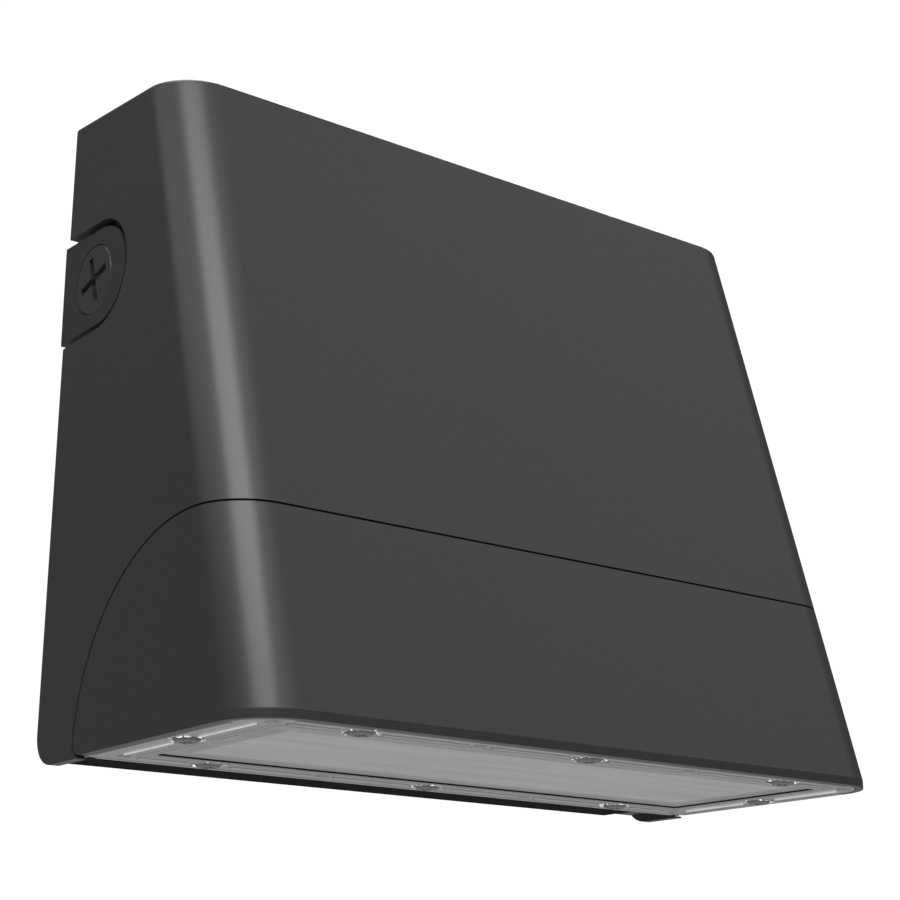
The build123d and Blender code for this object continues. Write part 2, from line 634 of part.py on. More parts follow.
def light_housing():
    outer = wedge() & light_zone()
    heel = [
        edge
        for edge in outer.edges().filter_by(Axis.X)
        if abs(edge.center().Y - SEAM_FOOT_Y) < 0.1 and abs(edge.center().Z - LENS_Z) < 0.1
    ]
    outer = fillet(heel, HEEL_RADIUS)
    inner = wedge(SHELL, rear_y=0, bottom_z=DECK_TOP_Z)
    mouth = block((-FAR, FAR), (-FAR, -ARC_WALL_END), (DECK_TOP_Z, FAR))
    above_deck = block((-FAR, FAR), (-FAR, FAR), (DECK_TOP_Z, FAR))
    hollow = inner & ((light_zone(-SHELL) & above_deck) + mouth)
    housing = outer - hollow
    shelf_z = (SEAM_Z - SEAM_SHELF_DROP - SEAM_SHELF_THICKNESS, SEAM_Z - SEAM_SHELF_DROP)
    shelf_y = (FRONT_Y, join_face_y() + JOIN_TAB_THICKNESS)
    shelf = block((-WIDTH, WIDTH), shelf_y, shelf_z) & wedge(SHELL / 2)
    housing = housing + shelf + housing_tongue()
    for x in join_columns():
        half = JOIN_TAB_WIDTH / 2
        tab_y = (join_face_y(), join_face_y() + JOIN_TAB_THICKNESS)
        tab = block((x - half, x + half), tab_y, (shelf_z[0], JOIN_TAB_Z + half))
        hole = rod_y(x, JOIN_TAB_Z, tab_y, JOIN_SCREW_RADIUS + SCREW_CLEARANCE)
        housing = housing + (tab - hole)
    fin_y = (LENS_FRONT_Y + CHAMBER_INSET - FIN_END_GAP, LENS_REAR_Y - CHAMBER_INSET)
    for i in range(FIN_COUNT):
        x = (i - (FIN_COUNT - 1) / 2) * FIN_PITCH
        half = FIN_THICKNESS / 2
        fin = block((x - half, x + half), fin_y, (DECK_TOP_Z, DECK_TOP_Z + FIN_HEIGHT))
        housing = housing + fin
    for x, y in board_screw_places():
        housing = housing + rod_z(x, y, (DECK_TOP_Z, DECK_TOP_Z + BOARD_BOSS_HEIGHT),
                                  BOARD_BOSS_RADIUS)
    lens_seat = plan_plate(0, (LENS_Z - 1, LEDGE_Z), CORNER_RADIUS - LENS_MARGIN,
                           LENS_REAR_RADIUS)
    chamber = plan_plate(CHAMBER_INSET, (LENS_Z, DECK_BOTTOM_Z), LENS_PANEL_RADIUS,
                         LENS_PANEL_RADIUS)
    housing = housing - lens_seat - chamber
    for x, y in lens_screw_places():
        end = LENS_Z + LENS_CUP_DEPTH + LENS_SCREW_LENGTH + BLIND_EXTRA
        housing = housing - rod_z(x, y, (LENS_Z, end), LENS_SCREW_RADIUS + THREAD_FIT)
    for x, y in board_screw_places():
        end = BOARD_BOTTOM_Z + BOARD_SCREW_LENGTH + BLIND_EXTRA
        housing = housing - rod_z(x, y, (DECK_BOTTOM_Z, end), BOARD_SCREW_RADIUS + THREAD_FIT)
    lead_hole = rod_z(BOARD_SCREW_X, LENS_MIDDLE_Y, (DECK_BOTTOM_Z, DECK_TOP_Z), LEAD_HOLE_RADIUS)
    return housing - lead_hole


def seam_gasket():
    ring = wedge(SEAM_GASKET_INSET, rear_y=0) - wedge(SHELL, rear_y=FOOT_RADIUS)
    keep = block((-FAR, FAR), (-FAR, FAR), (HEEL_Z, FAR))
    return ring & (light_zone(SEAM_GAP) - light_zone()) & keep


# ---- Lens and light engine ----------------------------------------------------------------------
def lens():
    sheet = plan_plate(LENS_FIT, (LENS_Z, LENS_TOP_Z), CORNER_RADIUS - LENS_MARGIN - LENS_FIT,
                       LENS_REAR_RADIUS - LENS_FIT)
    recess = plan_plate(LENS_PANEL_INSET, (LENS_Z - 1, LENS_Z + LENS_PANEL_RECESS),
                        LENS_PANEL_RADIUS, LENS_PANEL_RADIUS, LENS_PANEL_FRONT_INSET)
    sheet = sheet - recess
    for x, y in lens_screw_places():
        sheet = sheet - rod_z(x, y, (LENS_Z, LENS_TOP_Z), LENS_SCREW_RADIUS + SCREW_CLEARANCE)
        sheet = sheet - rod_z(x, y, (LENS_Z, LENS_Z + LENS_CUP_DEPTH), LENS_CUP_RADIUS)
    for x, y in pip_places():
        sheet = sheet + rod_z(x, y, (LENS_Z - PIP_HEIGHT, LENS_Z), PIP_RADIUS)
    return sheet


def lens_gasket():
    inner_inset = CHAMBER_INSET - LENS_GASKET_OFFSET
    z_span = (LENS_TOP_Z, LEDGE_Z)
    outer = plan_plate(inner_inset - LENS_GASKET_WIDTH, z_span, LENS_PANEL_RADIUS + 3,
                       LENS_PANEL_RADIUS + 3)
    return outer - plan_plate(inner_inset, z_span, LENS_PANEL_RADIUS, LENS_PANEL_RADIUS)


def lens_screws():
    one = screw(LENS_SCREW_RADIUS, LENS_SCREW_LENGTH, LENS_SCREW_HEAD_RADIUS,
                LENS_SCREW_HEAD_HEIGHT)
    return [Pos(x, y, LENS_Z + LENS_CUP_DEPTH) * UP * one for x, y in lens_screw_places()]


def board_plate(z_span, shrink=0.0):
    half_x = BOARD_LENGTH / 2 - shrink
    half_y = BOARD_WIDTH / 2 - shrink
    plate = block((-half_x, half_x), (LENS_MIDDLE_Y - half_y, LENS_MIDDLE_Y + half_y), z_span)
    for x, y in board_screw_places():
        plate = plate - rod_z(x, y, z_span, BOARD_SCREW_RADIUS + SCREW_CLEARANCE)
    return plate - rod_z(BOARD_SCREW_X, LENS_MIDDLE_Y, z_span, LEAD_HOLE_RADIUS)


def led_chips():
    chips = []
    for column in range(LED_COLUMNS):
        for row in range(LED_ROWS):
            x = (column - (LED_COLUMNS - 1) / 2) * LED_PITCH_X
            y = LENS_MIDDLE_Y + (row - (LED_ROWS - 1) / 2) * LED_PITCH_Y
            half = LED_SIZE / 2
            z_span = (BOARD_BOTTOM_Z - LED_HEIGHT, BOARD_BOTTOM_Z)
            chips.append(block((x - half, x + half), (y - half, y + half), z_span))
    return chips


def board_screws():
    one = screw(BOARD_SCREW_RADIUS, BOARD_SCREW_LENGTH, BOARD_SCREW_HEAD_RADIUS,
                BOARD_SCREW_HEAD_HEIGHT)
    return [Pos(x, y, BOARD_BOTTOM_Z) * UP * one for x, y in board_screw_places()]


def board_connector():
    half_x, half_y = CONNECTOR_WIDTH / 2, CONNECTOR_LENGTH / 2
    body = block((BOARD_SCREW_X - half_x, BOARD_SCREW_X + half_x),
                 (LENS_MIDDLE_Y - half_y, LENS_MIDDLE_Y + half_y),
                 (BOARD_BOTTOM_Z - CONNECTOR_HEIGHT, BOARD_BOTTOM_Z))
    return fillet(body.edges().filter_by(Axis.Z), 0.6)


def reflector():
    inset = CHAMBER_INSET + REFLECTOR_GAP
    bottom_z = LENS_TOP_Z + DIFFUSER_GAP * 2 + DIFFUSER_THICKNESS
    top_z_level = BOARD_BOTTOM_Z - REFLECTOR_GAP
    frame = plan_plate(inset, (bottom_z, top_z_level), LENS_PANEL_RADIUS, LENS_PANEL_RADIUS)
    low = (LENS_HALF_WIDTH - inset - 1, (LENS_REAR_Y - LENS_FRONT_Y) / 2 - inset - 1)
    high = (low[0] - REFLECTOR_WALL_TOP - REFLECTOR_FLARE, low[1] - REFLECTOR_WALL_TOP)
    sections = [
        Pos(0, LENS_MIDDLE_Y, bottom_z - 1) * Rectangle(2 * low[0], 2 * low[1]),
        Pos(0, LENS_MIDDLE_Y, top_z_level + 1) * Rectangle(2 * high[0], 2 * high[1]),
    ]
    return frame - loft(sections)


def diffuser():
    z = LENS_TOP_Z + DIFFUSER_GAP
    return plan_plate(CHAMBER_INSET + REFLECTOR_GAP, (z, z + DIFFUSER_THICKNESS),
                      LENS_PANEL_RADIUS, LENS_PANEL_RADIUS)


def deck_grommet():
    x, y = BOARD_SCREW_X, LENS_MIDDLE_Y
    neck = rod_z(x, y, (DECK_BOTTOM_Z + 1, DECK_TOP_Z), LEAD_HOLE_RADIUS - THREAD_FIT)
    flange = rod_z(x, y, (DECK_TOP_Z, DECK_TOP_Z + GROMMET_FLANGE), GROMMET_FLANGE_RADIUS)
    bore = rod_z(x, y, (DECK_BOTTOM_Z, DECK_TOP_Z + FAR), GROMMET_BORE_RADIUS)
    return neck + flange - bore


# ---- Joining and closing hardware ---------------------------------------------------------------
def joining_screws():
    one = screw(JOIN_SCREW_RADIUS, JOIN_SCREW_LENGTH, JOIN_SCREW_HEAD_RADIUS,
                JOIN_SCREW_HEAD_HEIGHT)
    y = join_face_y() + JOIN_TAB_THICKNESS
    return [Pos(x, y, JOIN_TAB_Z) * FORWARD * one for x in join_columns()]


def closing_seat_z():
    """The flat that the washers of the closing screws sit on."""
    return top_z(-CLOSING_Y - CLOSING_WASHER_RADIUS)


def closing_screws():
    one = screw(CLOSING_SHANK_RADIUS, CLOSING_LENGTH, CLOSING_HEAD_RADIUS, CLOSING_HEAD_HEIGHT)
    z = closing_seat_z() + CLOSING_WASHER_THICKNESS
    return [Pos(side * CLOSING_X, -CLOSING_Y, z) * one for side in (-1, 1)]


def closing_washers():
    z = closing_seat_z()
    span = (z, z + CLOSING_WASHER_THICKNESS)
    return [
        rod_z(side * CLOSING_X, -CLOSING_Y, span, CLOSING_WASHER_RADIUS)
        - rod_z(side * CLOSING_X, -CLOSING_Y, span, CLOSING_SHANK_RADIUS + THREAD_FIT)
        for side in (-1, 1)
    ]


def closing_nuts():
    top = CLOSING_TAB_TOP - CLOSING_TAB_THICKNESS - CLOSING_NUT_GAP
    span = (top - CLOSING_NUT_THICKNESS, top)
    half = CLOSING_NUT_WIDTH / 2
    nuts = []
    for x in (-CLOSING_X, CLOSING_X):
        body = block((x - half, x + half), (-CLOSING_Y - half, -CLOSING_Y + half), span)
        body = chamfer(body.edges().filter_by(Axis.Z), NUT_CHAMFER)
        nuts.append(body - rod_z(x, -CLOSING_Y, span, CLOSING_SHANK_RADIUS + THREAD_FIT))
    return nuts


# ---- Driver tray ----------------------------------------------------------------------------------
def driver_tray():
    y_span = (TRAY_FRONT_Y, TRAY_REAR_Y)
    tray = rounded_plate(TRAY_HALF_WIDTH, y_span, (TRAY_BOTTOM, TRAY_TOP), 4)
    flange_x = TRAY_BOSS_INNER - LEAD_BOSS_GAP
    tray = tray + block((-flange_x, flange_x), (TRAY_FRONT_Y - TRAY_FLANGE, TRAY_REAR_Y),
                        (TRAY_BOTTOM, TRAY_BOTTOM + TRAY_THICKNESS))
    for x, z in tray_screw_places():
        tray = tray - rod_y(x, z, y_span, TRAY_SCREW_RADIUS + SCREW_CLEARANCE)
    for x, z in driver_screw_places():
        tray = tray - rod_y(x, z, y_span, DRIVER_SCREW_RADIUS + THREAD_FIT)
    half_x = SOCKET_LENGTH / 2 + SOCKET_FIT
    half_z = SOCKET_HEIGHT / 2 + SOCKET_FIT
    return tray - block((SOCKET_X - half_x, SOCKET_X + half_x), y_span,
                        (SOCKET_Z - half_z, SOCKET_Z + half_z))


def tray_screws():
    one = screw(TRAY_SCREW_RADIUS, TRAY_SCREW_LENGTH, TRAY_SCREW_HEAD_RADIUS,
                TRAY_SCREW_HEAD_HEIGHT)
    return [Pos(x, TRAY_REAR_Y, z) * FORWARD * one for x, z in tray_screw_places()]


def driver_screw_places():
    x = DRIVER_LENGTH / 2 + DRIVER_FLANGE_LENGTH / 2
    return [(sx * x, DRIVER_Z + sz * DRIVER_SCREW_Z) for sx in (-1, 1) for sz in (-1, 1)]


def driver():
    half_z = DRIVER_HEIGHT / 2
    z_span = (DRIVER_Z - half_z, DRIVER_Z + half_z)
    case = block((-DRIVER_LENGTH / 2, DRIVER_LENGTH / 2),
                 (TRAY_FRONT_Y - DRIVER_DEPTH, TRAY_FRONT_Y), z_span)
    case = fillet(case.edges().filter_by(Axis.X), DRIVER_EDGE_RADIUS)
    reach = DRIVER_LENGTH / 2 + DRIVER_FLANGE_LENGTH
    flange = block((-reach, reach), (TRAY_FRONT_Y - DRIVER_FLANGE_THICKNESS, TRAY_FRONT_Y), z_span)
    for x, z in driver_screw_places():
        flange = flange - rod_y(x, z, (TRAY_FRONT_Y - DRIVER_DEPTH, TRAY_FRONT_Y),
                                DRIVER_SCREW_RADIUS + SCREW_CLEARANCE)
    return case + flange


def driver_screws():
    one = screw(DRIVER_SCREW_RADIUS, DRIVER_SCREW_LENGTH, DRIVER_SCREW_HEAD_RADIUS,
                DRIVER_SCREW_HEAD_HEIGHT)
    y = TRAY_FRONT_Y - DRIVER_FLANGE_THICKNESS
    return [Pos(x, y, z) * BACK * one for x, z in driver_screw_places()]


def panel_socket():
    def slab(margin, y_span):
        half_x = SOCKET_LENGTH / 2 + margin
        half_z = SOCKET_HEIGHT / 2 + margin
        return block((SOCKET_X - half_x, SOCKET_X + half_x), y_span,
                     (SOCKET_Z - half_z, SOCKET_Z + half_z))

    body = slab(0, (TRAY_FRONT_Y - SOCKET_DEPTH, TRAY_REAR_Y + SOCKET_REAR))
    body = body + slab(SOCKET_FLANGE, (TRAY_REAR_Y, TRAY_REAR_Y + SOCKET_REAR))
    for x in socket_pin_columns():
        body = body - rod_y(x, SOCKET_Z, (TRAY_REAR_Y - SOCKET_DEPTH / 2, FAR), SOCKET_PIN_RADIUS)
    return body


def socket_pin_columns():
    first = SOCKET_X - SOCKET_PIN_PITCH * (SOCKET_PIN_COUNT - 1) / 2
    return [first + SOCKET_PIN_PITCH * i for i in range(SOCKET_PIN_COUNT)]


# ---- Leads -----------------------------------------------------------------------------------------
def lead(points):
    """A round lead along straight runs joined by arcs as large as the runs allow."""
    vectors = [Vector(*point) for point in points]
    radii = []
    for before, corner, after in zip(vectors, vectors[1:], vectors[2:]):
        run_in, run_out = corner - before, after - corner
        half_turn = radians(run_in.get_angle(run_out) / 2)
        radii.append(0.45 * min(run_in.length, run_out.length) / tan(half_turn))
    path = FilletPolyline(*points, radius=radii)
    start = Plane(origin=path @ 0, z_dir=path % 0)
    print("lead radii", [round(radius, 1) for radius in radii])
    return sweep(start * Circle(LEAD_RADIUS), path=path)


def output_lead(side):
    """From the driver's end face down through the deck to the board connector."""
    start_x, start_z = DRIVER_LENGTH / 2, DRIVER_Z - 2 * LEAD_SPACING
    start_y = TRAY_FRONT_Y - DRIVER_DEPTH * 0.6 + side * LEAD_SPACING / 2
    end_y = LENS_MIDDLE_Y + side * (GROMMET_BORE_RADIUS / 2)
    outer_x = TRAY_BOSS_INNER - LEAD_BOSS_GAP
    turn_x = outer_x - 2 * LEAD_SPACING
    fall = start_z - DECK_TOP_Z
    return lead([
        (start_x, start_y, start_z),
        (turn_x, start_y, start_z),
        (outer_x, start_y - LEAD_SPACING / 2, start_z - 0.4 * fall),
        (turn_x, end_y + LEAD_SPACING / 3, start_z - 0.75 * fall),
        (BOARD_SCREW_X, end_y, DECK_TOP_Z + LEAD_SPACING),
        (BOARD_SCREW_X, end_y, BOARD_BOTTOM_Z),
    ])


def input_lead(index):
    """From the panel socket round the driver's left end to its end face."""
    x = socket_pin_columns()[index]
    start_y = TRAY_FRONT_Y - SOCKET_DEPTH
    front_y = start_y - LEAD_BULGE + (SOCKET_PIN_COUNT - 1 - index) * LEAD_SPACING
    end_y = TRAY_FRONT_Y - DRIVER_DEPTH * 0.45
    outward = ((SOCKET_PIN_COUNT - 1) / 2 - index) * LEAD_SPACING
    outer_x = 2 * LEAD_SPACING - TRAY_BOSS_INNER - outward
    over_z = DRIVER_Z + DRIVER_HEIGHT / 2 + LEAD_OVER_DRIVER
    return lead([
        (x, start_y, SOCKET_Z),
        (x, front_y, SOCKET_Z),
        ((x + outer_x) / 2, front_y, (SOCKET_Z + over_z) / 2),
        (outer_x, front_y + LEAD_SPACING, over_z - LEAD_SPACING),
        (outer_x, end_y, DRIVER_Z + LEAD_SQUARE_RUN - outward),
        (outer_x, end_y, DRIVER_Z - outward),
        (-DRIVER_LENGTH / 2, end_y, DRIVER_Z - outward),
    ])


# ---- Back box ---------------------------------------------------------------------------------------
def box_ring(outset, y_span):
    """A solid block in the back box's outline, larger by outset on every side."""
    z_span = (BOX_BOTTOM - outset, BOX_TOP + outset)
    return rounded_plate(BOX_HALF_WIDTH + outset, y_span, z_span, BOX_CORNER_RADIUS + outset)


def conduit_boss():
    """The D-shaped boss on the left, with its threaded seat and wire way."""
    face_x = half_width(BOSS_Z) - BOSS_INSET
    boss = side_extrusion(boss_outline()) & block(
        (-face_x, -BOX_HALF_WIDTH + BOX_WALL), (-FAR, 0), (-FAR, FAR))
    seat = rod_x(-PLUG_Y, BOSS_Z, (-FAR, -face_x + PLUG_LENGTH + 0.5), PLUG_RADIUS + PLUG_CLEARANCE)
    wire_way = rod_x(-PLUG_Y, BOSS_Z, (-FAR, 0), CONDUIT_BORE_RADIUS)
    return boss, seat, wire_way


def hinge_lug():
    """The left lug that carries a hinge pin."""
    x_span = (-LUG_OUTER, -LUG_INNER)
    lug = rod_x(HINGE_Y, HINGE_Z, x_span, LUG_RADIUS)
    web = block(x_span, (HINGE_Y, 0), (PLATE_BOTTOM, HINGE_Z + LUG_RADIUS))
    below = block(x_span, (-FAR, FAR), (PLATE_BOTTOM - FAR, PLATE_BOTTOM))
    return lug + web - below


def closing_tab(side):
    """A shelf with a slot open to the front, so that the loosened screw swings out."""
    x = side * CLOSING_X
    half = CLOSING_TAB_WIDTH / 2
    z_span = (CLOSING_TAB_TOP - CLOSING_TAB_THICKNESS, CLOSING_TAB_TOP)
    tab = block((x - half, x + half), (-CLOSING_TAB_REACH, 0), z_span)
    slot = CLOSING_SHANK_RADIUS + CLOSING_SLOT_CLEARANCE
    tab = tab - rod_z(x, -CLOSING_Y, z_span, slot)
    return tab - block((x - slot, x + slot), (-CLOSING_TAB_REACH, -CLOSING_Y), z_span)


def small_screw_seats():
    """Blind holes in the plate for the terminal block and surge protector screws."""
    return terminal_screw_places() + surge_screw_places()


def back_box():
    plate = rounded_plate(PLATE_HALF_WIDTH, (-PLATE_THICKNESS, 0), (PLATE_BOTTOM, PLATE_TOP),
                          BOX_CORNER_RADIUS)
    rim_end = HINGE_PIN_INNER - RIM_END_GAP
    rim = block((-rim_end, rim_end), (-RIM_DEPTH, 0), (PLATE_BOTTOM, PLATE_BOTTOM + RIM_THICKNESS))
    rim = rim + block((-LUG_INNER, LUG_INNER), (-RIM_DEPTH, 0),
                      (PLATE_BOTTOM, PLATE_BOTTOM + RIM_FLOOR_THICKNESS))
    walls = box_ring(0, (-BOX_DEPTH, 0))
    land = box_ring(0, (-BOX_DEPTH, -BOX_DEPTH + BOX_LAND_THICKNESS))
    body = plate + rim + walls + land
    boss, seat, wire_way = conduit_boss()
    body = join_all(body, both_sides(boss))
    hollow = box_ring(-BOX_WALL, (-BOX_DEPTH + BOX_LAND_THICKNESS, -PLATE_THICKNESS))
    mouth = box_ring(-BOX_LAND, (-BOX_DEPTH - 1, -PLATE_THICKNESS))
    body = body - hollow - mouth
    middle = (BOX_GASKET_WIDTH - BOX_LAND) / 2
    groove_y = (-BOX_DEPTH, -BOX_DEPTH + BOX_GASKET_GROOVE)
    groove = box_ring(middle, groove_y) - box_ring(middle - BOX_GASKET_WIDTH, groove_y)
    body = body - groove
    body = cut_all(body, both_sides(seat & block((-FAR, 0), (-FAR, FAR), (-FAR, FAR))))
    body = cut_all(body, both_sides(wire_way))
    body = join_all(body, both_sides(hinge_lug()))
    bore = rod_x(HINGE_Y, HINGE_Z, (-HINGE_PIN_OUTER, -HINGE_PIN_INNER),
                 HINGE_PIN_RADIUS + HINGE_PRESS_FIT)
    body = cut_all(body, both_sides(bore))
    body = join_all(body, [closing_tab(-1), closing_tab(1)])
    for x in (-PLATE_HALF_WIDTH / 2, 0, PLATE_HALF_WIDTH / 2):
        half = BOX_RIB_THICKNESS / 2
        rib = block((x - half, x + half), (-RIM_DEPTH, 0), (PLATE_BOTTOM, BOX_BOTTOM))
        body = body + rib
    for x, z in anchor_places():
        body = body + rod_y(x, z, (-PLATE_THICKNESS - PAD_HEIGHT, 0), PAD_RADIUS)
    body = body + rod_y(GROUND_X, GROUND_Z, (-PLATE_THICKNESS - GROUND_PAD_HEIGHT, 0),
                        GROUND_PAD_RADIUS)
    return cut_wall_holes(body) - wall_gasket_ring(WALL_GASKET_THICKNESS)


def cut_wall_holes(body):
    for x, z in anchor_places():
        body = body - rod_y(x, z, (-FAR / 10, FAR / 10), ANCHOR_RADIUS)
    body = body - rod_y(0, 0, (-PLATE_THICKNESS, 0), WIRE_ENTRY_RADIUS)
    run = SLOT_LENGTH / 2 - SLOT_RADIUS
    for x in (-SLOT_SPACING / 2, SLOT_SPACING / 2):
        ends = [rod_y(x + shift, 0, (-PLATE_THICKNESS, 0), SLOT_RADIUS) for shift in (-run, run)]
        body = cut_all(body, ends)
        body = body - block((x - run, x + run), (-PLATE_THICKNESS, 0), (-SLOT_RADIUS, SLOT_RADIUS))
    for x, z in small_screw_seats():
        body = body - rod_y(x, z, (-PLATE_THICKNESS, -PLATE_THICKNESS + SMALL_SCREW_BITE),
                            SMALL_SCREW_RADIUS + THREAD_FIT)
    floor = -PLATE_THICKNESS - GROUND_PAD_HEIGHT
    return body - rod_y(GROUND_X, GROUND_Z, (floor, floor + GROUND_SCREW_LENGTH + BLIND_EXTRA),
                        GROUND_SCREW_RADIUS + THREAD_FIT)


def wall_gasket_ring(thickness):
    y_span = (-thickness, 0)

    def ring(inset):
        return rounded_plate(PLATE_HALF_WIDTH - inset, y_span,
                             (PLATE_BOTTOM + inset, PLATE_TOP - inset), BOX_CORNER_RADIUS / 2)

    return ring(WALL_GASKET_INSET) - ring(WALL_GASKET_INSET + WALL_GASKET_WIDTH)


def box_gasket():
    middle = (BOX_GASKET_WIDTH - BOX_LAND) / 2
    y_span = (-BOX_DEPTH + BOX_GASKET_GROOVE, GASKET_FRONT_Y)
    return box_ring(middle, y_span) - box_ring(middle - BOX_GASKET_WIDTH, y_span)


def conduit_plug():
    """The left plug, flush with its boss and slotted for a screwdriver."""
    face_x = -(half_width(BOSS_Z) - BOSS_INSET)
    body = rod_x(-PLUG_Y, BOSS_Z, (face_x, face_x + PLUG_LENGTH), PLUG_RADIUS)
    body = chamfer(body.edges().filter_by(GeomType.CIRCLE), 0.4)
    place = Pos(0, -PLUG_Y, BOSS_Z) * Rot(PLUG_SLOT_TURN, 0, 0)
    narrow, long = PLUG_SLOT_WIDTH / 2, PLUG_SLOT_LENGTH / 2
    for half_y, half_z in ((long, narrow), (narrow, long)):
        slot = block((face_x, face_x + PLUG_SLOT_DEPTH), (-half_y, half_y), (-half_z, half_z))
        body = body - place * slot
    return body


def hinge_pins():
    pin = rod_x(HINGE_Y, HINGE_Z, (-HINGE_PIN_OUTER, -HINGE_PIN_INNER), HINGE_PIN_RADIUS)
    pin = chamfer(pin.edges().filter_by(GeomType.CIRCLE), 0.5)
    return both_sides(pin)


def hinge_clips():
    face = -LUG_INNER + CLIP_SETBACK
    span = (face, face + CLIP_THICKNESS)
    ring = rod_x(HINGE_Y, HINGE_Z, span, CLIP_RADIUS)
    ring = ring - rod_x(HINGE_Y, HINGE_Z, span, HINGE_PIN_RADIUS + THREAD_FIT)
    gap = block(span, (HINGE_Y - 1.5, HINGE_Y + 1.5), (HINGE_Z, HINGE_Z + FAR))
    return both_sides(ring - gap)


# ---- Parts on the plate of the back box ---------------------------------------------------------------
def terminal_screw_places():
    reach = TERMINAL_LENGTH / 2 - TERMINAL_SCREW_INSET
    return [(TERMINAL_X - reach, TERMINAL_Z), (TERMINAL_X + reach, TERMINAL_Z)]


def surge_screw_places():
    reach = (SURGE_LENGTH + SURGE_EAR_LENGTH) / 2
    return [(SURGE_X - reach, SURGE_Z), (SURGE_X + reach, SURGE_Z)]


def pole_columns():
    first = TERMINAL_X - TERMINAL_POLE_PITCH * (TERMINAL_POLES - 1) / 2
    return [first + TERMINAL_POLE_PITCH * i for i in range(TERMINAL_POLES)]


def terminal_block():
    front = -PLATE_THICKNESS - TERMINAL_DEPTH
    half_x, half_z = TERMINAL_LENGTH / 2, TERMINAL_HEIGHT / 2
    z_span = (TERMINAL_Z - half_z, TERMINAL_Z + half_z)
    ear_front = -PLATE_THICKNESS - TERMINAL_EAR_THICKNESS
    body = block((TERMINAL_X - half_x, TERMINAL_X + half_x), (ear_front, -PLATE_THICKNESS), z_span)
    core = half_x - 2 * TERMINAL_SCREW_INSET
    body = body + block((TERMINAL_X - core, TERMINAL_X + core), (front, -PLATE_THICKNESS), z_span)
    for x in pole_columns():
        for z in terminal_rows():
            body = body - rod_y(x, z, (front, front + TERMINAL_WELL_DEPTH), TERMINAL_WELL_RADIUS)
            body = body - rod_y(x, z, (front, front + TERMINAL_WELL_DEPTH + TERMINAL_CLAMP_LENGTH),
                                TERMINAL_CLAMP_RADIUS + THREAD_FIT)
    for x, z in terminal_screw_places():
        body = body - rod_y(x, z, (front, 0), SMALL_SCREW_RADIUS + SCREW_CLEARANCE)
    return body


def terminal_rows():
    return (TERMINAL_Z - TERMINAL_HEIGHT / 4, TERMINAL_Z + TERMINAL_HEIGHT / 4)


def terminal_clamps():
    floor = -PLATE_THICKNESS - TERMINAL_DEPTH + TERMINAL_WELL_DEPTH
    clamps = []
    for x in pole_columns():
        for z in terminal_rows():
            clamp = rod_y(x, z, (floor - 1, floor + TERMINAL_CLAMP_LENGTH - 1),
                          TERMINAL_CLAMP_RADIUS)
            slot = block((x - FAR, x + FAR), (floor - 1, floor), (z - 0.4, z + 0.4))
            clamps.append(clamp - slot)
    return clamps


def plate_screws(places, head_y):
    one = screw(SMALL_SCREW_RADIUS, SMALL_SCREW_LENGTH, SMALL_SCREW_HEAD_RADIUS,
                SMALL_SCREW_HEAD_HEIGHT)
    return [Pos(x, head_y, z) * BACK * one for x, z in places]


def surge_protector():
    front = -PLATE_THICKNESS - SURGE_DEPTH
    half_x, half_z = SURGE_LENGTH / 2, SURGE_HEIGHT / 2
    case = block((SURGE_X - half_x, SURGE_X + half_x), (front, -PLATE_THICKNESS),
                 (SURGE_Z - half_z, SURGE_Z + half_z))
    case = fillet(case.edges().filter_by(Axis.Y), SURGE_EDGE_RADIUS)
    reach = half_x + SURGE_EAR_LENGTH
    ears = block((SURGE_X - reach, SURGE_X + reach),
                 (-PLATE_THICKNESS - SURGE_EAR_THICKNESS, -PLATE_THICKNESS),
                 (SURGE_Z - half_z / 2, SURGE_Z + half_z / 2))
    body = case + ears
    for x, z in surge_screw_places():
        body = body - rod_y(x, z, (front, 0), SMALL_SCREW_RADIUS + SCREW_CLEARANCE)
    return body


def surge_lead(index):
    """From the surge protector's upper face over to a pole of the terminal block."""
    y = -PLATE_THICKNESS - SURGE_DEPTH * 0.6
    pole_y = -PLATE_THICKNESS - TERMINAL_DEPTH * 0.6
    top = SURGE_Z + SURGE_HEIGHT / 2
    x = SURGE_X + (index + 1) * 2 * LEAD_SPACING
    end_x = pole_columns()[TERMINAL_POLES - 1 - index]
    end_z = TERMINAL_Z + TERMINAL_HEIGHT / 2
    lift = top + SURGE_LEAD_RISE - index * 2 * LEAD_SPACING
    return lead([
        (x, y, top),
        (x, y, top + LEAD_SQUARE_RUN),
        (x + 4 * LEAD_SPACING, y - LEAD_SPACING, lift),
        ((x + end_x) / 2, y - LEAD_SPACING, lift + LEAD_SPACING),
        (end_x - 5 * LEAD_SPACING, pole_y, lift),
        (end_x, pole_y, end_z + LEAD_SQUARE_RUN),
        (end_x, pole_y, end_z),
    ])


def ground_screw():
    one = screw(GROUND_SCREW_RADIUS, GROUND_SCREW_LENGTH + GROUND_SCREW_STANDOFF,
                GROUND_SCREW_HEAD_RADIUS, GROUND_SCREW_HEAD_HEIGHT)
    y = -PLATE_THICKNESS - GROUND_PAD_HEIGHT - GROUND_SCREW_STANDOFF
    return Pos(GROUND_X, y, GROUND_Z) * BACK * one


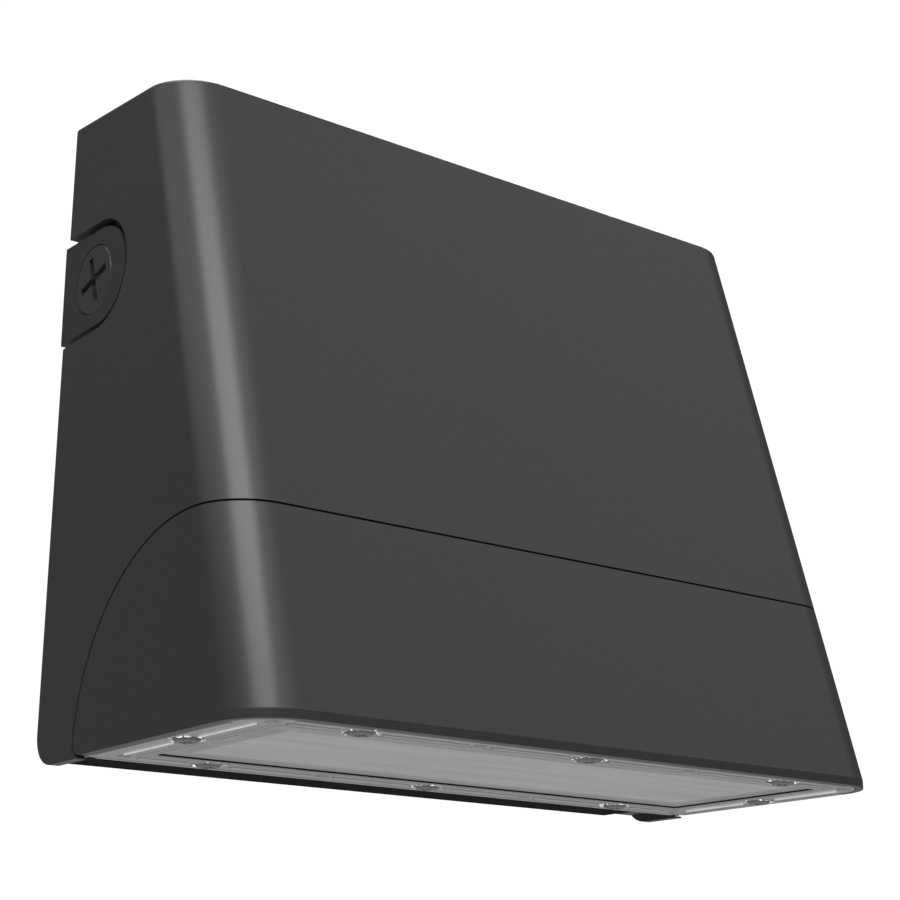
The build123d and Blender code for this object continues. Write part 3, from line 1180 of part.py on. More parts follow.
# ---- Write every node ------------------------------------------------------------------------------------
def main():
    os.makedirs("parts", exist_ok=True)
    plug = conduit_plug()
    nodes = {
        "back_box": back_box(),
        "wall_gasket": wall_gasket_ring(WALL_GASKET_THICKNESS),
        "box_gasket": box_gasket(),
        "hinge_pins": hinge_pins(),
        "hinge_clips": hinge_clips(),
        "terminal_block": terminal_block(),
        "terminal_clamps": terminal_clamps(),
        "terminal_screws": plate_screws(terminal_screw_places(),
                                        -PLATE_THICKNESS - TERMINAL_EAR_THICKNESS),
        "ground_screw": ground_screw(),
        "surge_protector": surge_protector(),
        "surge_screws": plate_screws(surge_screw_places(), -PLATE_THICKNESS - SURGE_EAR_THICKNESS),
        "surge_lead_black": surge_lead(0),
        "surge_lead_white": surge_lead(1),
        "surge_lead_green": surge_lead(2),
        "conduit_plug_left": plug,
        "conduit_plug_right": mirror(plug, about=Plane.YZ),
        "upper_cover": upper_cover(),
        "light_housing": light_housing(),
        "seam_gasket": seam_gasket(),
        "joining_screws": joining_screws(),
        "lens": lens(),
        "lens_gasket": lens_gasket(),
        "lens_screws": lens_screws(),
        "diffuser": diffuser(),
        "reflector": reflector(),
        "thermal_pad": board_plate((BOARD_TOP_Z, DECK_BOTTOM_Z), shrink=1.0),
        "led_board": board_plate((BOARD_BOTTOM_Z, BOARD_TOP_Z)),
        "led_chips": led_chips(),
        "board_screws": board_screws(),
        "board_connector": board_connector(),
        "deck_grommet": deck_grommet(),
        "driver_tray": driver_tray(),
        "tray_screws": tray_screws(),
        "driver": driver(),
        "driver_screws": driver_screws(),
        "panel_socket": panel_socket(),
        "input_lead_black": input_lead(0),
        "input_lead_white": input_lead(1),
        "input_lead_green": input_lead(2),
        "output_lead_red": output_lead(-1),
        "output_lead_black": output_lead(1),
        "closing_screws": closing_screws(),
        "closing_washers": closing_washers(),
        "closing_nuts": closing_nuts(),
    }
    for name, shape in nodes.items():
        export(shape, name)


main()
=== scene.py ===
"""Looks of the wall pack light, dressed on its CAD solids.

Powder coated castings with soft edges, a clear lens with ridges and screw cups, a finish for every
piece inside, and the studio and camera of the photograph.
"""
import json
import math
import random

import bpy
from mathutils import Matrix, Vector


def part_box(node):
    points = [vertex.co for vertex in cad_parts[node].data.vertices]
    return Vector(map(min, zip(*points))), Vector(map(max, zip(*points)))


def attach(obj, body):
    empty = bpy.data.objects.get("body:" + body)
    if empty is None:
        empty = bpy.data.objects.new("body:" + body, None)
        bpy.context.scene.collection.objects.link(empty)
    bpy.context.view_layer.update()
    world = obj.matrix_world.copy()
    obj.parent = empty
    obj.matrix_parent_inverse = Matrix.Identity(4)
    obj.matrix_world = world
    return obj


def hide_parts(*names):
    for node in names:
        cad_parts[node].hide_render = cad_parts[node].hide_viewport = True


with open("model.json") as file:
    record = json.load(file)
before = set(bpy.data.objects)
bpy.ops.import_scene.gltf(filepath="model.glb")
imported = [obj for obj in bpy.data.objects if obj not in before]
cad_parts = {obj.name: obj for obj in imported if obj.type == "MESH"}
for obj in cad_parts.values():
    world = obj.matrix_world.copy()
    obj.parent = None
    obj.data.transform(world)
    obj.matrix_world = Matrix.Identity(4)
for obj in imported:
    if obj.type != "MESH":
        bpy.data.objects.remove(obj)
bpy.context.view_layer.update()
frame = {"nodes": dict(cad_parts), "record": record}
record = frame["record"]
slots = {part["node"]: part["material_slot"] for part in record["subparts"]}

MM = 0.001
WHITE = (1, 1, 1, 1)


# ---- Shader maths -------------------------------------------------------------------------------
MIX_LOW, MIX_HIGH, MIX_RESULT = 6, 7, 2    # a Mix node's colour sockets, which share their names


def add_node(tree, kind, settings, sockets, output=0):
    """Adds a node: its settings first, then the values or links of its sockets."""
    made = tree.nodes.new(kind)
    for name, value in settings.items():
        setattr(made, name, value)
    for name, value in sockets.items():
        if isinstance(value, Signal):
            tree.links.new(value.socket, made.inputs[name])
        else:
            made.inputs[name].default_value = value
    return Signal(tree, made.outputs[output])


class Signal:
    """A number that varies over a surface. The usual operators add Math nodes."""

    def __init__(self, tree, socket):
        self.tree = tree
        self.socket = socket

    def math(self, operation, *values):
        return add_node(self.tree, "ShaderNodeMath", {"operation": operation},
                        dict(enumerate(values)))

    def __add__(self, other):
        return self.math("ADD", self, other)

    __radd__ = __add__

    def __sub__(self, other):
        return self.math("SUBTRACT", self, other)

    def __rsub__(self, other):
        return self.math("SUBTRACT", other, self)

    def __mul__(self, other):
        return self.math("MULTIPLY", self, other)

    __rmul__ = __mul__

    def __abs__(self):
        return self.math("ABSOLUTE", self)

    def least(self, other):
        return self.math("MINIMUM", self, other)

    def rise(self, low, high):
        """0 below low, 1 above high, smooth between them."""
        return add_node(self.tree, "ShaderNodeMapRange", {"interpolation_type": "SMOOTHSTEP"},
                        {"Value": self, "From Min": low, "From Max": high})

    def stripe(self, middle, half_width, soft):
        """1 on a stripe about middle, 0 outside it."""
        return 1 - abs(self - middle).rise(half_width, half_width + soft)


class Finish:
    """One material: a Principled shader with its constants, to which signals are fed."""

    def __init__(self, name, **constants):
        self.material = bpy.data.materials.new(name)
        self.material.use_nodes = True
        self.tree = self.material.node_tree
        self.shader = next(n for n in self.tree.nodes if n.type == "BSDF_PRINCIPLED")
        for socket, value in constants.items():
            self.shader.inputs[socket.replace("_", " ")].default_value = value
        self.coords = self.node("ShaderNodeTexCoord", {}, {}, "Object")

    def node(self, kind, settings, sockets, output=0):
        return add_node(self.tree, kind, settings, sockets, output)

    def axis(self, name):
        """One of the Object coordinates, X, Y or Z."""
        return self.node("ShaderNodeSeparateXYZ", {}, {"Vector": self.coords}, name)

    def noise(self, size, detail=2.0, roughness=0.5, stretch=None):
        """Noise from 0 to 1 in blotches about size metres across, drawn out where asked."""
        vector = self.coords
        if stretch:
            vector = self.node("ShaderNodeMapping", {}, {"Vector": vector, "Scale": stretch})
        return self.node("ShaderNodeTexNoise", {}, {
            "Vector": vector, "Scale": 1 / size, "Detail": detail, "Roughness": roughness})

    def mix(self, mask, low, high):
        """The low colour where the mask is 0, the high colour where it is 1."""
        return self.node("ShaderNodeMix", {"data_type": "RGBA"}, {
            "Factor": mask, MIX_LOW: (*low, 1), MIX_HIGH: (*high, 1)}, MIX_RESULT)

    def feed(self, socket, signal):
        """Lets a signal drive one of the shader's sockets."""
        self.tree.links.new(signal.socket, self.shader.inputs[socket])

    def vary(self, socket, mask, low, high):
        """Drives a socket from the low value to the high one as the mask goes from 0 to 1."""
        self.feed(socket, low + mask * (high - low))

    def bump(self, height, distance, strength):
        self.feed("Normal", self.node("ShaderNodeBump", {}, {
            "Height": height, "Distance": distance, "Strength": strength}))


# ---- Finishes -----------------------------------------------------------------------------------
def grey(value):
    return (value, value, value)


def darker(colour, share):
    return [channel * share for channel in colour]


def clouded(name, cloud_size, shades, roughness, **constants):
    """A grey finish whose shade and roughness drift together in soft clouds."""
    finish = Finish(name, **constants)
    cloud = finish.noise(cloud_size)
    finish.feed("Base Color", finish.mix(cloud, grey(shades[0]), grey(shades[1])))
    finish.vary("Roughness", cloud, *roughness)
    return finish


def powder_coat(name, gloss, rough):
    """Dark powder coat on a casting: fine orange peel, faint clouding and chalking."""
    dark, light = (0.031, 0.031, 0.0315), (0.037, 0.037, 0.0375)
    cloud_share, chalk_share = 0.6, 0.4
    cloud_roughness, chalk_roughness = 0.05, 0.04
    coarse_share = 0.8
    coat = Finish(name, Specular_IOR_Level=gloss)
    clouds = coat.noise(60 * MM)
    chalk = coat.noise(1.2 * MM)
    coat.feed("Base Color", coat.mix(clouds * cloud_share + chalk * chalk_share, dark, light))
    coat.feed("Roughness", rough + clouds * cloud_roughness + chalk * chalk_roughness)
    fine_peel = coat.noise(0.9 * MM, roughness=0.6)
    coarse_peel = coat.noise(4 * MM, detail=1.0)
    coat.bump(fine_peel + coarse_peel * coarse_share, distance=0.02 * MM, strength=0.5)
    return coat.material


def moulded(name, colour, rough, grain=0.6 * MM, depth=0.02 * MM, shade=0.85):
    """Moulded plastic or rubber: fine grain with a little unevenness in colour and gloss."""
    spread = 0.05
    skin = Finish(name)
    cloud = skin.noise(20 * MM, detail=3.0)
    skin.feed("Base Color", skin.mix(cloud, darker(colour, shade), colour))
    skin.vary("Roughness", cloud, rough - spread, rough + spread)
    skin.bump(skin.noise(grain), depth, strength=0.6)
    return skin.material


def bare_metal(name, colour, rough, stretch):
    """Rolled, turned or plated metal with scratches drawn out along one axis."""
    shade, spread = 0.75, 0.08
    scratch_share, cloud_share = 0.5, 0.5
    metal = Finish(name, Metallic=1.0)
    scratches = metal.noise(0.6 * MM, detail=4.0, roughness=0.6, stretch=stretch)
    cloud = metal.noise(12 * MM, detail=3.0)
    wear = scratches * scratch_share + cloud * cloud_share
    metal.feed("Base Color", metal.mix(wear, darker(colour, shade), colour))
    metal.vary("Roughness", scratches, rough - spread, rough + spread)
    metal.bump(scratches, distance=0.01 * MM, strength=0.5)
    return metal.material


def spangled_zinc():
    """Zinc plated sheet with crystal spangles."""
    spangles_per_metre = 240.0
    dull, bright = (0.40, 0.41, 0.43), (0.47, 0.48, 0.50)
    sheet = Finish("zinc_plate", Metallic=1.0)
    cells = sheet.node("ShaderNodeTexVoronoi", {},
                       {"Vector": sheet.coords, "Scale": spangles_per_metre}, "Color")
    level = sheet.node("ShaderNodeSeparateColor", {}, {"Color": cells})
    sheet.feed("Base Color", sheet.mix(level, dull, bright))
    sheet.vary("Roughness", level, 0.44, 0.54)
    sheet.bump(sheet.noise(0.8 * MM), distance=0.01 * MM, strength=0.4)
    return sheet.material


def board_mask():
    """White solder mask with faint copper pours showing through between the chip rows."""
    pour_bands = 31.8
    pour_edge = (0.12, 0.2)
    speck_height = 0.1
    bare, poured = (0.72, 0.73, 0.71), (0.86, 0.87, 0.86)
    board = Finish("white_solder_mask", Coat_Weight=0.3)
    across = board.node("ShaderNodeTexWave", {"wave_type": "BANDS", "bands_direction": "Y"}, {
        "Vector": board.coords, "Scale": pour_bands, "Distortion": 0.0}, "Fac")
    pour = across.rise(*pour_edge)
    speck = board.noise(4 * MM, detail=3.0)
    board.feed("Base Color", board.mix(pour, bare, poured))
    board.vary("Roughness", speck, 0.3, 0.45)
    board.bump(pour + speck * speck_height, distance=0.03 * MM, strength=0.6)
    return board.material


def phosphor():
    """Grainy yellow phosphor of the unlit chips."""
    deep, pale = (0.8, 0.6, 0.13), (0.92, 0.76, 0.25)
    chip = Finish("led_phosphor", Coat_Weight=0.6)
    grain = chip.noise(0.5 * MM)
    chip.feed("Base Color", chip.mix(grain, deep, pale))
    chip.vary("Roughness", grain, 0.3, 0.5)
    return chip.material


def potted_case(name, colour, rough):
    """Case of potted electronics, with fine pebble grain."""
    shade, spread = 0.86, 0.12
    cloud_share, pebble_share = 0.7, 0.3
    case = Finish(name)
    pebble = case.noise(1.1 * MM, detail=3.0)
    cloud = case.noise(30 * MM)
    tone = cloud * cloud_share + pebble * pebble_share
    case.feed("Base Color", case.mix(tone, darker(colour, shade), colour))
    case.vary("Roughness", pebble, rough, rough + spread)
    case.bump(pebble, distance=0.05 * MM, strength=0.6)
    return case.material


# Stretches that draw scratches out along one axis, and the grain of sheet and foam.
ALONG_X, ALONG_Y, ALONG_Z = (0.15, 1, 1), (1, 0.2, 1), (1, 1, 0.12)
SHEET = {"grain": 2 * MM, "depth": 0.01 * MM, "shade": 0.97}
FOAM = {"grain": 1.2 * MM, "depth": 0.2 * MM}

FINISHES = {
    "black_casting": powder_coat("dark_powder_coat", gloss=0.5, rough=0.31),
    "gasket_rubber": moulded("gasket_rubber", grey(0.012), rough=0.75),
    "gasket_foam": moulded("gasket_foam", (0.03, 0.03, 0.031), rough=0.9, **FOAM),
    "steel": bare_metal("stainless_steel", (0.62, 0.62, 0.63), rough=0.3, stretch=ALONG_Z),
    "brass": bare_metal("turned_brass", (0.78, 0.6, 0.28), rough=0.28, stretch=ALONG_X),
    "ground_green": bare_metal("green_passivated_steel", (0.05, 0.36, 0.14), rough=0.35,
                               stretch=ALONG_Y),
    "terminal_plastic": moulded("natural_nylon", (0.72, 0.71, 0.66), rough=0.42),
    "dark_plastic": moulded("black_nylon", (0.022, 0.022, 0.023), rough=0.45),
    "driver_case": potted_case("driver_case_grey", (0.5, 0.51, 0.52), rough=0.42),
    "tray_steel": spangled_zinc(),
    "diffuser_white": moulded("opal_sheet", (0.82, 0.83, 0.83), rough=0.35, **SHEET),
    "reflector_white": moulded("reflector_white", grey(0.86), rough=0.25, **SHEET),
    "thermal_grey": moulded("thermal_silicone", (0.3, 0.32, 0.35), rough=0.8),
    "board_white": board_mask(),
    "phosphor_yellow": phosphor(),
    "lead_black": moulded("wire_black", grey(0.015), rough=0.4),
    "lead_white": moulded("wire_white", (0.75, 0.75, 0.73), rough=0.4),
    "lead_green": moulded("wire_green", (0.02, 0.3, 0.08), rough=0.4),
    "lead_red": moulded("wire_red", (0.5, 0.02, 0.02), rough=0.4),
}

BACK_BOX_COAT = powder_coat("back_box_coat", gloss=0.22, rough=0.5)


def dress_cad_nodes():
    """Gives every carried-over CAD node the finish of its material slot."""
    for name, piece in frame["nodes"].items():
        finish = FINISHES.get(slots[name])
        if finish is None:
            continue
        piece.data.materials.clear()
        piece.data.materials.append(finish)


dress_cad_nodes()


# ---- Modelling steps ----------------------------------------------------------------------------
MERGE_DISTANCE = 0.002 * MM
FLAT_ANGLE = math.radians(0.4)     # triangles that lean less than this become one face


def pick(piece):
    """Makes the piece the only selected and active object."""
    bpy.ops.object.select_all(action="DESELECT")
    piece.select_set(True)
    bpy.context.view_layer.objects.active = piece


def settle(piece, name):
    """Applies the piece's place and size, so that its mesh holds them, and names it."""
    pick(piece)
    bpy.ops.object.transform_apply(location=True, rotation=True, scale=True)
    piece.name = piece.data.name = name
    return piece


def select_where(piece, kind, wanted):
    """Opens edit mode with only the wanted faces or edges of the piece selected."""
    pick(piece)
    bpy.ops.object.mode_set(mode="EDIT")
    bpy.ops.mesh.select_mode(type=kind)
    bpy.ops.mesh.select_all(action="DESELECT")
    leave_edit()
    for item in {"FACE": piece.data.polygons, "EDGE": piece.data.edges}[kind]:
        item.select = wanted(item)
    bpy.ops.object.mode_set(mode="EDIT")


def leave_edit():
    bpy.ops.object.mode_set(mode="OBJECT")


def ends(piece, edge):
    return [piece.data.vertices[i].co for i in edge.vertices]


def joined(pieces, name):
    """Joins the pieces into the first one."""
    pick(pieces[0])
    for piece in pieces[1:]:
        piece.select_set(True)
    bpy.ops.object.join()
    pieces[0].name = pieces[0].data.name = name
    return pieces[0]


def copy_of(node, name):
    """A bare copy of a CAD node, its loose triangles merged into whole faces."""
    piece = bpy.data.objects.new(name, frame["nodes"][node].data.copy())
    bpy.context.collection.objects.link(piece)
    pick(piece)
    if piece.data.has_custom_normals:
        bpy.ops.mesh.customdata_custom_splitnormals_clear()
    bpy.ops.object.mode_set(mode="EDIT")
    bpy.ops.mesh.select_all(action="SELECT")
    bpy.ops.mesh.remove_doubles(threshold=MERGE_DISTANCE)
    bpy.ops.mesh.dissolve_limited(angle_limit=FLAT_ANGLE)
    leave_edit()
    piece.data.materials.clear()
    return piece


def coat_faces(piece, finish, wanted):
    """Gives the wanted faces a finish of their own."""
    piece.data.materials.append(finish)
    select_where(piece, "FACE", wanted)
    piece.active_material_index = len(piece.data.materials) - 1
    bpy.ops.object.material_slot_assign()
    leave_edit()


def carry(piece, node, body):
    """The piece stands for the CAD node and moves with the body."""
    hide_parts(node)
    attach(piece, body)


# ---- Castings -----------------------------------------------------------------------------------
EDGE_RADIUS = 0.35 * MM
EDGE_SEGMENTS = 2
EDGE_ANGLE = math.radians(40)      # corners sharper than this get the radius
SMOOTH_ANGLE = math.radians(32)
LIP_HEIGHT = 2.4 * MM
LIP_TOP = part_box("light_housing")[0].z + LIP_HEIGHT    # upper end of the upright lip at the lens
LINE_REACH = 0.02 * MM
# how far above the back box's bottom the painted shade on its lower edge reaches
PAINTED_SHADE_REACH = 0.5 * MM
FACES_DOWN = -0.5


def softened(node, body, coat):
    """A casting with the small edge radii that a mould and a coat of powder leave."""
    piece = copy_of(node, node + "_cast")
    bevel = piece.modifiers.new("edge_radii", "BEVEL")
    bevel.width = EDGE_RADIUS
    bevel.segments = EDGE_SEGMENTS
    bevel.limit_method = "ANGLE"
    bevel.angle_limit = EDGE_ANGLE
    bevel.miter_outer = "MITER_ARC"
    pick(piece)
    bpy.ops.object.modifier_apply(modifier=bevel.name)
    bpy.ops.object.shade_smooth_by_angle(angle=SMOOTH_ANGLE)
    carry(piece, node, body)
    piece.data.materials.append(coat)
    return piece


def painted_shade_lower_edge(box):
    """Paints shade on the back box's lower edge, where the front swings past it: the faces that
    look down at its bottom get a near-black finish without specular reflection, standing in for
    their shadow.
    """
    edge = clouded("painted_shade_cast_edge", cloud_size=10 * MM, shades=(0.014, 0.024),
                   roughness=(0.8, 0.9), Specular_IOR_Level=0.0)
    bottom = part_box("back_box")[0].z
    coat_faces(box, edge.material, lambda face: face.normal.z < FACES_DOWN
               and face.center.z < bottom + PAINTED_SHADE_REACH)


def crisp_line(piece, height):
    """Keeps the level line where the leaning faces meet the upright lip sharp."""
    select_where(piece, "EDGE", lambda edge: all(abs(end.z - height) < LINE_REACH
                                                 for end in ends(piece, edge)))
    bpy.ops.mesh.mark_sharp()
    leave_edit()


def flatten_shading(piece):
    """Lets the large faces set the normals, so that they shade flat up to their edge radii."""
    flat = piece.modifiers.new("flat_faces", "WEIGHTED_NORMAL")
    flat.keep_sharp = True
    pick(piece)
    bpy.ops.object.modifier_apply(modifier=flat.name)


def castings():
    """The cover, the light housing and the back box."""
    coat = FINISHES["black_casting"]
    cover = softened("upper_cover", "front_body", coat)
    housing = softened("light_housing", "front_body", coat)
    box = softened("back_box", "back_box_body", BACK_BOX_COAT)
    # painted shade: the back box's lower edge gets a near-black finish
    painted_shade_lower_edge(box)
    crisp_line(housing, LIP_TOP)
    crisp_line(cover, LIP_TOP)
    for piece in (cover, housing, box):
        flatten_shading(piece)


castings()


# ---- Lens layout --------------------------------------------------------------------------------
LENS_LOW, LENS_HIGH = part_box("lens")
PIP_HEIGHT = 0.5 * MM              # the locating pips are the lowest points of the lens
RIM_Z = LENS_LOW.z + PIP_HEIGHT    # underside of the rim
PANEL_RECESS = 0.5 * MM
PANEL_Z = RIM_Z + PANEL_RECESS     # underside of the recessed panel
PANEL_INSET = 13.7 * MM
PANEL_FRONT_INSET = 10.0 * MM
PANEL_X = LENS_HIGH.x - PANEL_INSET
PANEL_FRONT = LENS_LOW.y + PANEL_FRONT_INSET
PANEL_REAR = LENS_HIGH.y - PANEL_INSET

CUP_FRONT_INSET = 5.1 * MM
CUP_REAR_INSET = 7.0 * MM
CUP_SIDE_INSET = 6.0 * MM
CUP_ROW_FRONT = LENS_LOW.y + CUP_FRONT_INSET
CUP_ROW_REAR = LENS_HIGH.y - CUP_REAR_INSET
CUP_X = 76 * MM
CUP_SIDE_X = LENS_HIGH.x - CUP_SIDE_INSET
CUP_SIDE_Y = (CUP_ROW_FRONT + CUP_ROW_REAR) / 2


# ---- Lens finishes ------------------------------------------------------------------------------
CLEAR = {"IOR": 1.49, "Coat_Weight": 0.35, "Coat_Roughness": 0.08}
POLISHED = {"IOR": 1.49, "Coat_Weight": 1.0, "Coat_Roughness": 0.03}
POLISHED_ROUGHNESS = (0.12, 0.20)

RIM_SHADE = 0.318
HAZE_SHADE = 0.03
PANEL_SHADE = 0.14                 # how much lighter the panel is than the rim
STREAK_SHADE = 0.30
PAINTED_SHADOW_SHADE = 0.15                  # how much darker the painted shadow of the chamber's wall makes the band
BAND_MIDDLE = 4.2 * MM             # from the panel's edge inwards
BAND_HALF_WIDTH = 2.6 * MM
BAND_SOFT = 0.5 * MM
PANEL_SOFT = 0.2 * MM
RIM_ROUGHNESS = 0.3
PANEL_ROUGHNESS = 0.12             # added on the panel
STREAK_ROUGHNESS = 0.05            # added along the streaks
MEAN_NOISE = 0.5


def lens_finish():
    """Clear moulded plastic over white reflectors: pale grey with a faintly streaked middle, and a
    darker band inside the panel's edge that is a painted shadow of the chamber's wall.
    """
    lens = Finish("clear_ribbed_lens", **CLEAR)
    middle = (PANEL_FRONT + PANEL_REAR) / 2
    half = (PANEL_REAR - PANEL_FRONT) / 2
    inward = (PANEL_X - abs(lens.axis("X"))).least(half - abs(lens.axis("Y") - middle))
    streaks = lens.noise(7 * MM, detail=5.0, roughness=0.62, stretch=(0.10, 1, 1))
    haze = lens.noise(30 * MM)
    panel = inward.rise(0.0, PANEL_SOFT)
    # painted shadow of the chamber's wall, in a band inside the panel's edge
    painted_wall_shadow = inward.stripe(BAND_MIDDLE, BAND_HALF_WIDTH, BAND_SOFT)
    panel_shade = panel * (PANEL_SHADE + (streaks - MEAN_NOISE) * STREAK_SHADE)
    level = RIM_SHADE + haze * HAZE_SHADE + panel_shade - painted_wall_shadow * PAINTED_SHADOW_SHADE
    black, cool_white = (0, 0, 0), (1, 1, 1.01)
    lens.feed("Base Color", lens.mix(level, black, cool_white))
    lens.feed("Roughness", RIM_ROUGHNESS + panel * PANEL_ROUGHNESS + streaks * STREAK_ROUGHNESS)
    lens.bump(streaks * panel, distance=0.1 * MM, strength=0.3)
    return lens.material


def step_shade_finish():
    """Painted shade on the upright step between rim and panel: a near-black finish standing in for
    the step's shadow line.
    """
    step_shade = clouded("painted_shade_step", cloud_size=10 * MM, shades=(0.008, 0.016),
                    roughness=(0.7, 0.8), Specular_IOR_Level=0.2)
    return step_shade.material


def bead_finish():
    """Polished clear beads, painted a little lighter than the sheet they stand on: a painted
    highlight.
    """
    bead = clouded("polished_bead", cloud_size=4 * MM, shades=(0.34, 0.44),
                   roughness=POLISHED_ROUGHNESS, **POLISHED)
    return bead.material


def side_bead_painted_highlight_finish():
    """The beads along the two ends, painted lighter than the other beads and faintly emissive all
    along: a painted highlight.
    """
    cloud_size = 20 * MM
    dim, bright = 0.2, 0.45
    bead = clouded("side_bead_painted_highlight", cloud_size, shades=(0.5, 0.6), roughness=POLISHED_ROUGHNESS,
                   Emission_Strength=1.0, **POLISHED)
    painted_glow = bead.mix(bead.noise(cloud_size), grey(dim), grey(bright))
    bead.feed("Emission Color", painted_glow)
    return bead.material


def cup_finish():
    """Clear cups with painted glints: spots of full emission, scattered by noise, stand in for
    light gathering in their edges.
    """
    painted_glint_edge = (0.56, 0.62)
    dim, bright = 0.0, 1.0
    cup = clouded("clear_cup_painted_glints", cloud_size=2 * MM, shades=(0.24, 0.40),
                  roughness=POLISHED_ROUGHNESS, Emission_Strength=1.0, **POLISHED)
    painted_glints = cup.noise(1.1 * MM, detail=1.0).rise(*painted_glint_edge)
    cup.feed("Emission Color", cup.mix(painted_glints, grey(dim), grey(bright)))
    return cup.material


def screw_finish():
    """Satin screw heads, seen in the clear cups as smooth grey discs."""
    satin = clouded("satin_screw", cloud_size=2 * MM, shades=(0.15, 0.19),
                    roughness=(0.45, 0.55), Specular_IOR_Level=0.3)
    return satin.material


# ---- Lens ridges --------------------------------------------------------------------------------
X, Y = 0, 1

# Width and height of each kind of ridge.
BEAD = (1.1 * MM, 0.42 * MM)
SIDE_BEAD = (0.6 * MM, 0.42 * MM)
EDGE_LINE = (0.7 * MM, 0.35 * MM)
REAR_LINE = (0.7 * MM, 0.3 * MM)
PANEL_LINE = (0.6 * MM, 0.25 * MM)

BEAD_SPANS = [(7 * MM, 34 * MM), (42 * MM, 69 * MM), (83 * MM, 98 * MM)]
SIDE_BEAD_ROW_GAP = 4 * MM         # from the front and rear rows of cups
SIDE_BEAD_CUP_GAP = 7 * MM         # from the cup in the middle of the end
EDGE_LINE_INSET = 0.55 * MM
FRONT_CORNER = 12 * MM             # where the edge lines stop short of the rounded corners
REAR_CORNER = 3 * MM
PANEL_LINE_OFFSETS = (0.9 * MM, 2.9 * MM)
FRONT_OFFSET_SHARE = 0.5           # the panel's two lines lie closer together at the front
RIDGE_ROOT = 0.2 * MM              # how far a ridge is sunk into the rim
RIDGE_ROUNDING = 0.25              # share of the width that each lower long edge loses
RIDGE_SEGMENTS = 2
SAME_PLACE = 0.001 * MM


def ridge(low, high, along):
    """A long low ridge on the rim: a bar whose lower long edges are rounded."""
    low, high = Vector(low), Vector(high)
    bpy.ops.object.select_all(action="DESELECT")
    bpy.ops.mesh.primitive_cube_add(size=1, location=(low + high) / 2, scale=high - low)
    bar = settle(bpy.context.object, "ridge")

    def lower_long(edge):
        start, end = ends(bar, edge)
        lowest = all(abs(point.z - low.z) < SAME_PLACE for point in (start, end))
        return lowest and abs(start[along] - end[along]) > SAME_PLACE

    select_where(bar, "EDGE", lower_long)
    bpy.ops.mesh.bevel(offset=RIDGE_ROUNDING * (high - low)[1 - along],
                        segments=RIDGE_SEGMENTS)
    leave_edit()
    return bar


def ridges(along, across, spans, profile):
    """A row of ridges along one axis, at one place on the other."""
    width, height = profile
    bars = []
    for span in spans:
        low, high = [across - width / 2] * 2, [across + width / 2] * 2
        low[along], high[along] = span
        bars.append(ridge((*low, RIM_Z - height), (*high, RIM_Z + RIDGE_ROOT), along))
    return bars


def mirrored(spans):
    return spans + [(-high, -low) for low, high in spans]


def rim_ridges():
    """The raised lines of the rim: beads between the cups, one at the edge, two at the panel."""
    lines = []
    for y in (CUP_ROW_FRONT, CUP_ROW_REAR):
        lines += ridges(X, y, mirrored(BEAD_SPANS), BEAD)
    front_span = (LENS_LOW.x + FRONT_CORNER, LENS_HIGH.x - FRONT_CORNER)
    rear_span = (LENS_LOW.x + REAR_CORNER, LENS_HIGH.x - REAR_CORNER)
    side_span = (LENS_LOW.y + FRONT_CORNER, LENS_HIGH.y - REAR_CORNER)
    lines += ridges(X, LENS_LOW.y + EDGE_LINE_INSET, [front_span], EDGE_LINE)
    lines += ridges(X, LENS_HIGH.y - EDGE_LINE_INSET, [rear_span], REAR_LINE)
    for x in (LENS_LOW.x + EDGE_LINE_INSET, LENS_HIGH.x - EDGE_LINE_INSET):
        lines += ridges(Y, x, [side_span], EDGE_LINE)
    for out in PANEL_LINE_OFFSETS:
        front, rear = PANEL_FRONT - out * FRONT_OFFSET_SHARE, PANEL_REAR + out
        side = PANEL_X + out
        for y in (front, rear):
            lines += ridges(X, y, [(-side, side)], PANEL_LINE)
        for x in (-side, side):
            lines += ridges(Y, x, [(front, rear)], PANEL_LINE)
    return lines


def side_ridges():
    """The beads between the cups of the two ends."""
    spans = [(CUP_ROW_FRONT + SIDE_BEAD_ROW_GAP, CUP_SIDE_Y - SIDE_BEAD_CUP_GAP),
             (CUP_SIDE_Y + SIDE_BEAD_CUP_GAP, CUP_ROW_REAR - SIDE_BEAD_ROW_GAP)]
    return [bead for x in (-CUP_SIDE_X, CUP_SIDE_X) for bead in ridges(Y, x, spans, SIDE_BEAD)]


# ---- Lens cups ----------------------------------------------------------------------------------
CUP_SEED = 7
CUP_FACETS = 26
CUP_RADIUS = 5.0 * MM
COLLAR_HEIGHT = 0.9 * MM
COLLAR_LIFT = 0.05 * MM            # middle of the collar above the rim's underside
COLLAR_EDGE = 0.45 * MM            # width of the collar's flat ring
COLLAR_SLOPE = 0.5 * MM            # width of the slope inside it
COLLAR_SLOPE_HEIGHT = 0.45 * MM
COLLAR_WELL = 0.3 * MM             # upright step at the foot of the slope
FACET_DEPTH = 0.1 * MM             # points this near the bottom are made uneven
FACET_SWELL = 0.32 * MM
FACET_SHIFT = 0.25 * MM


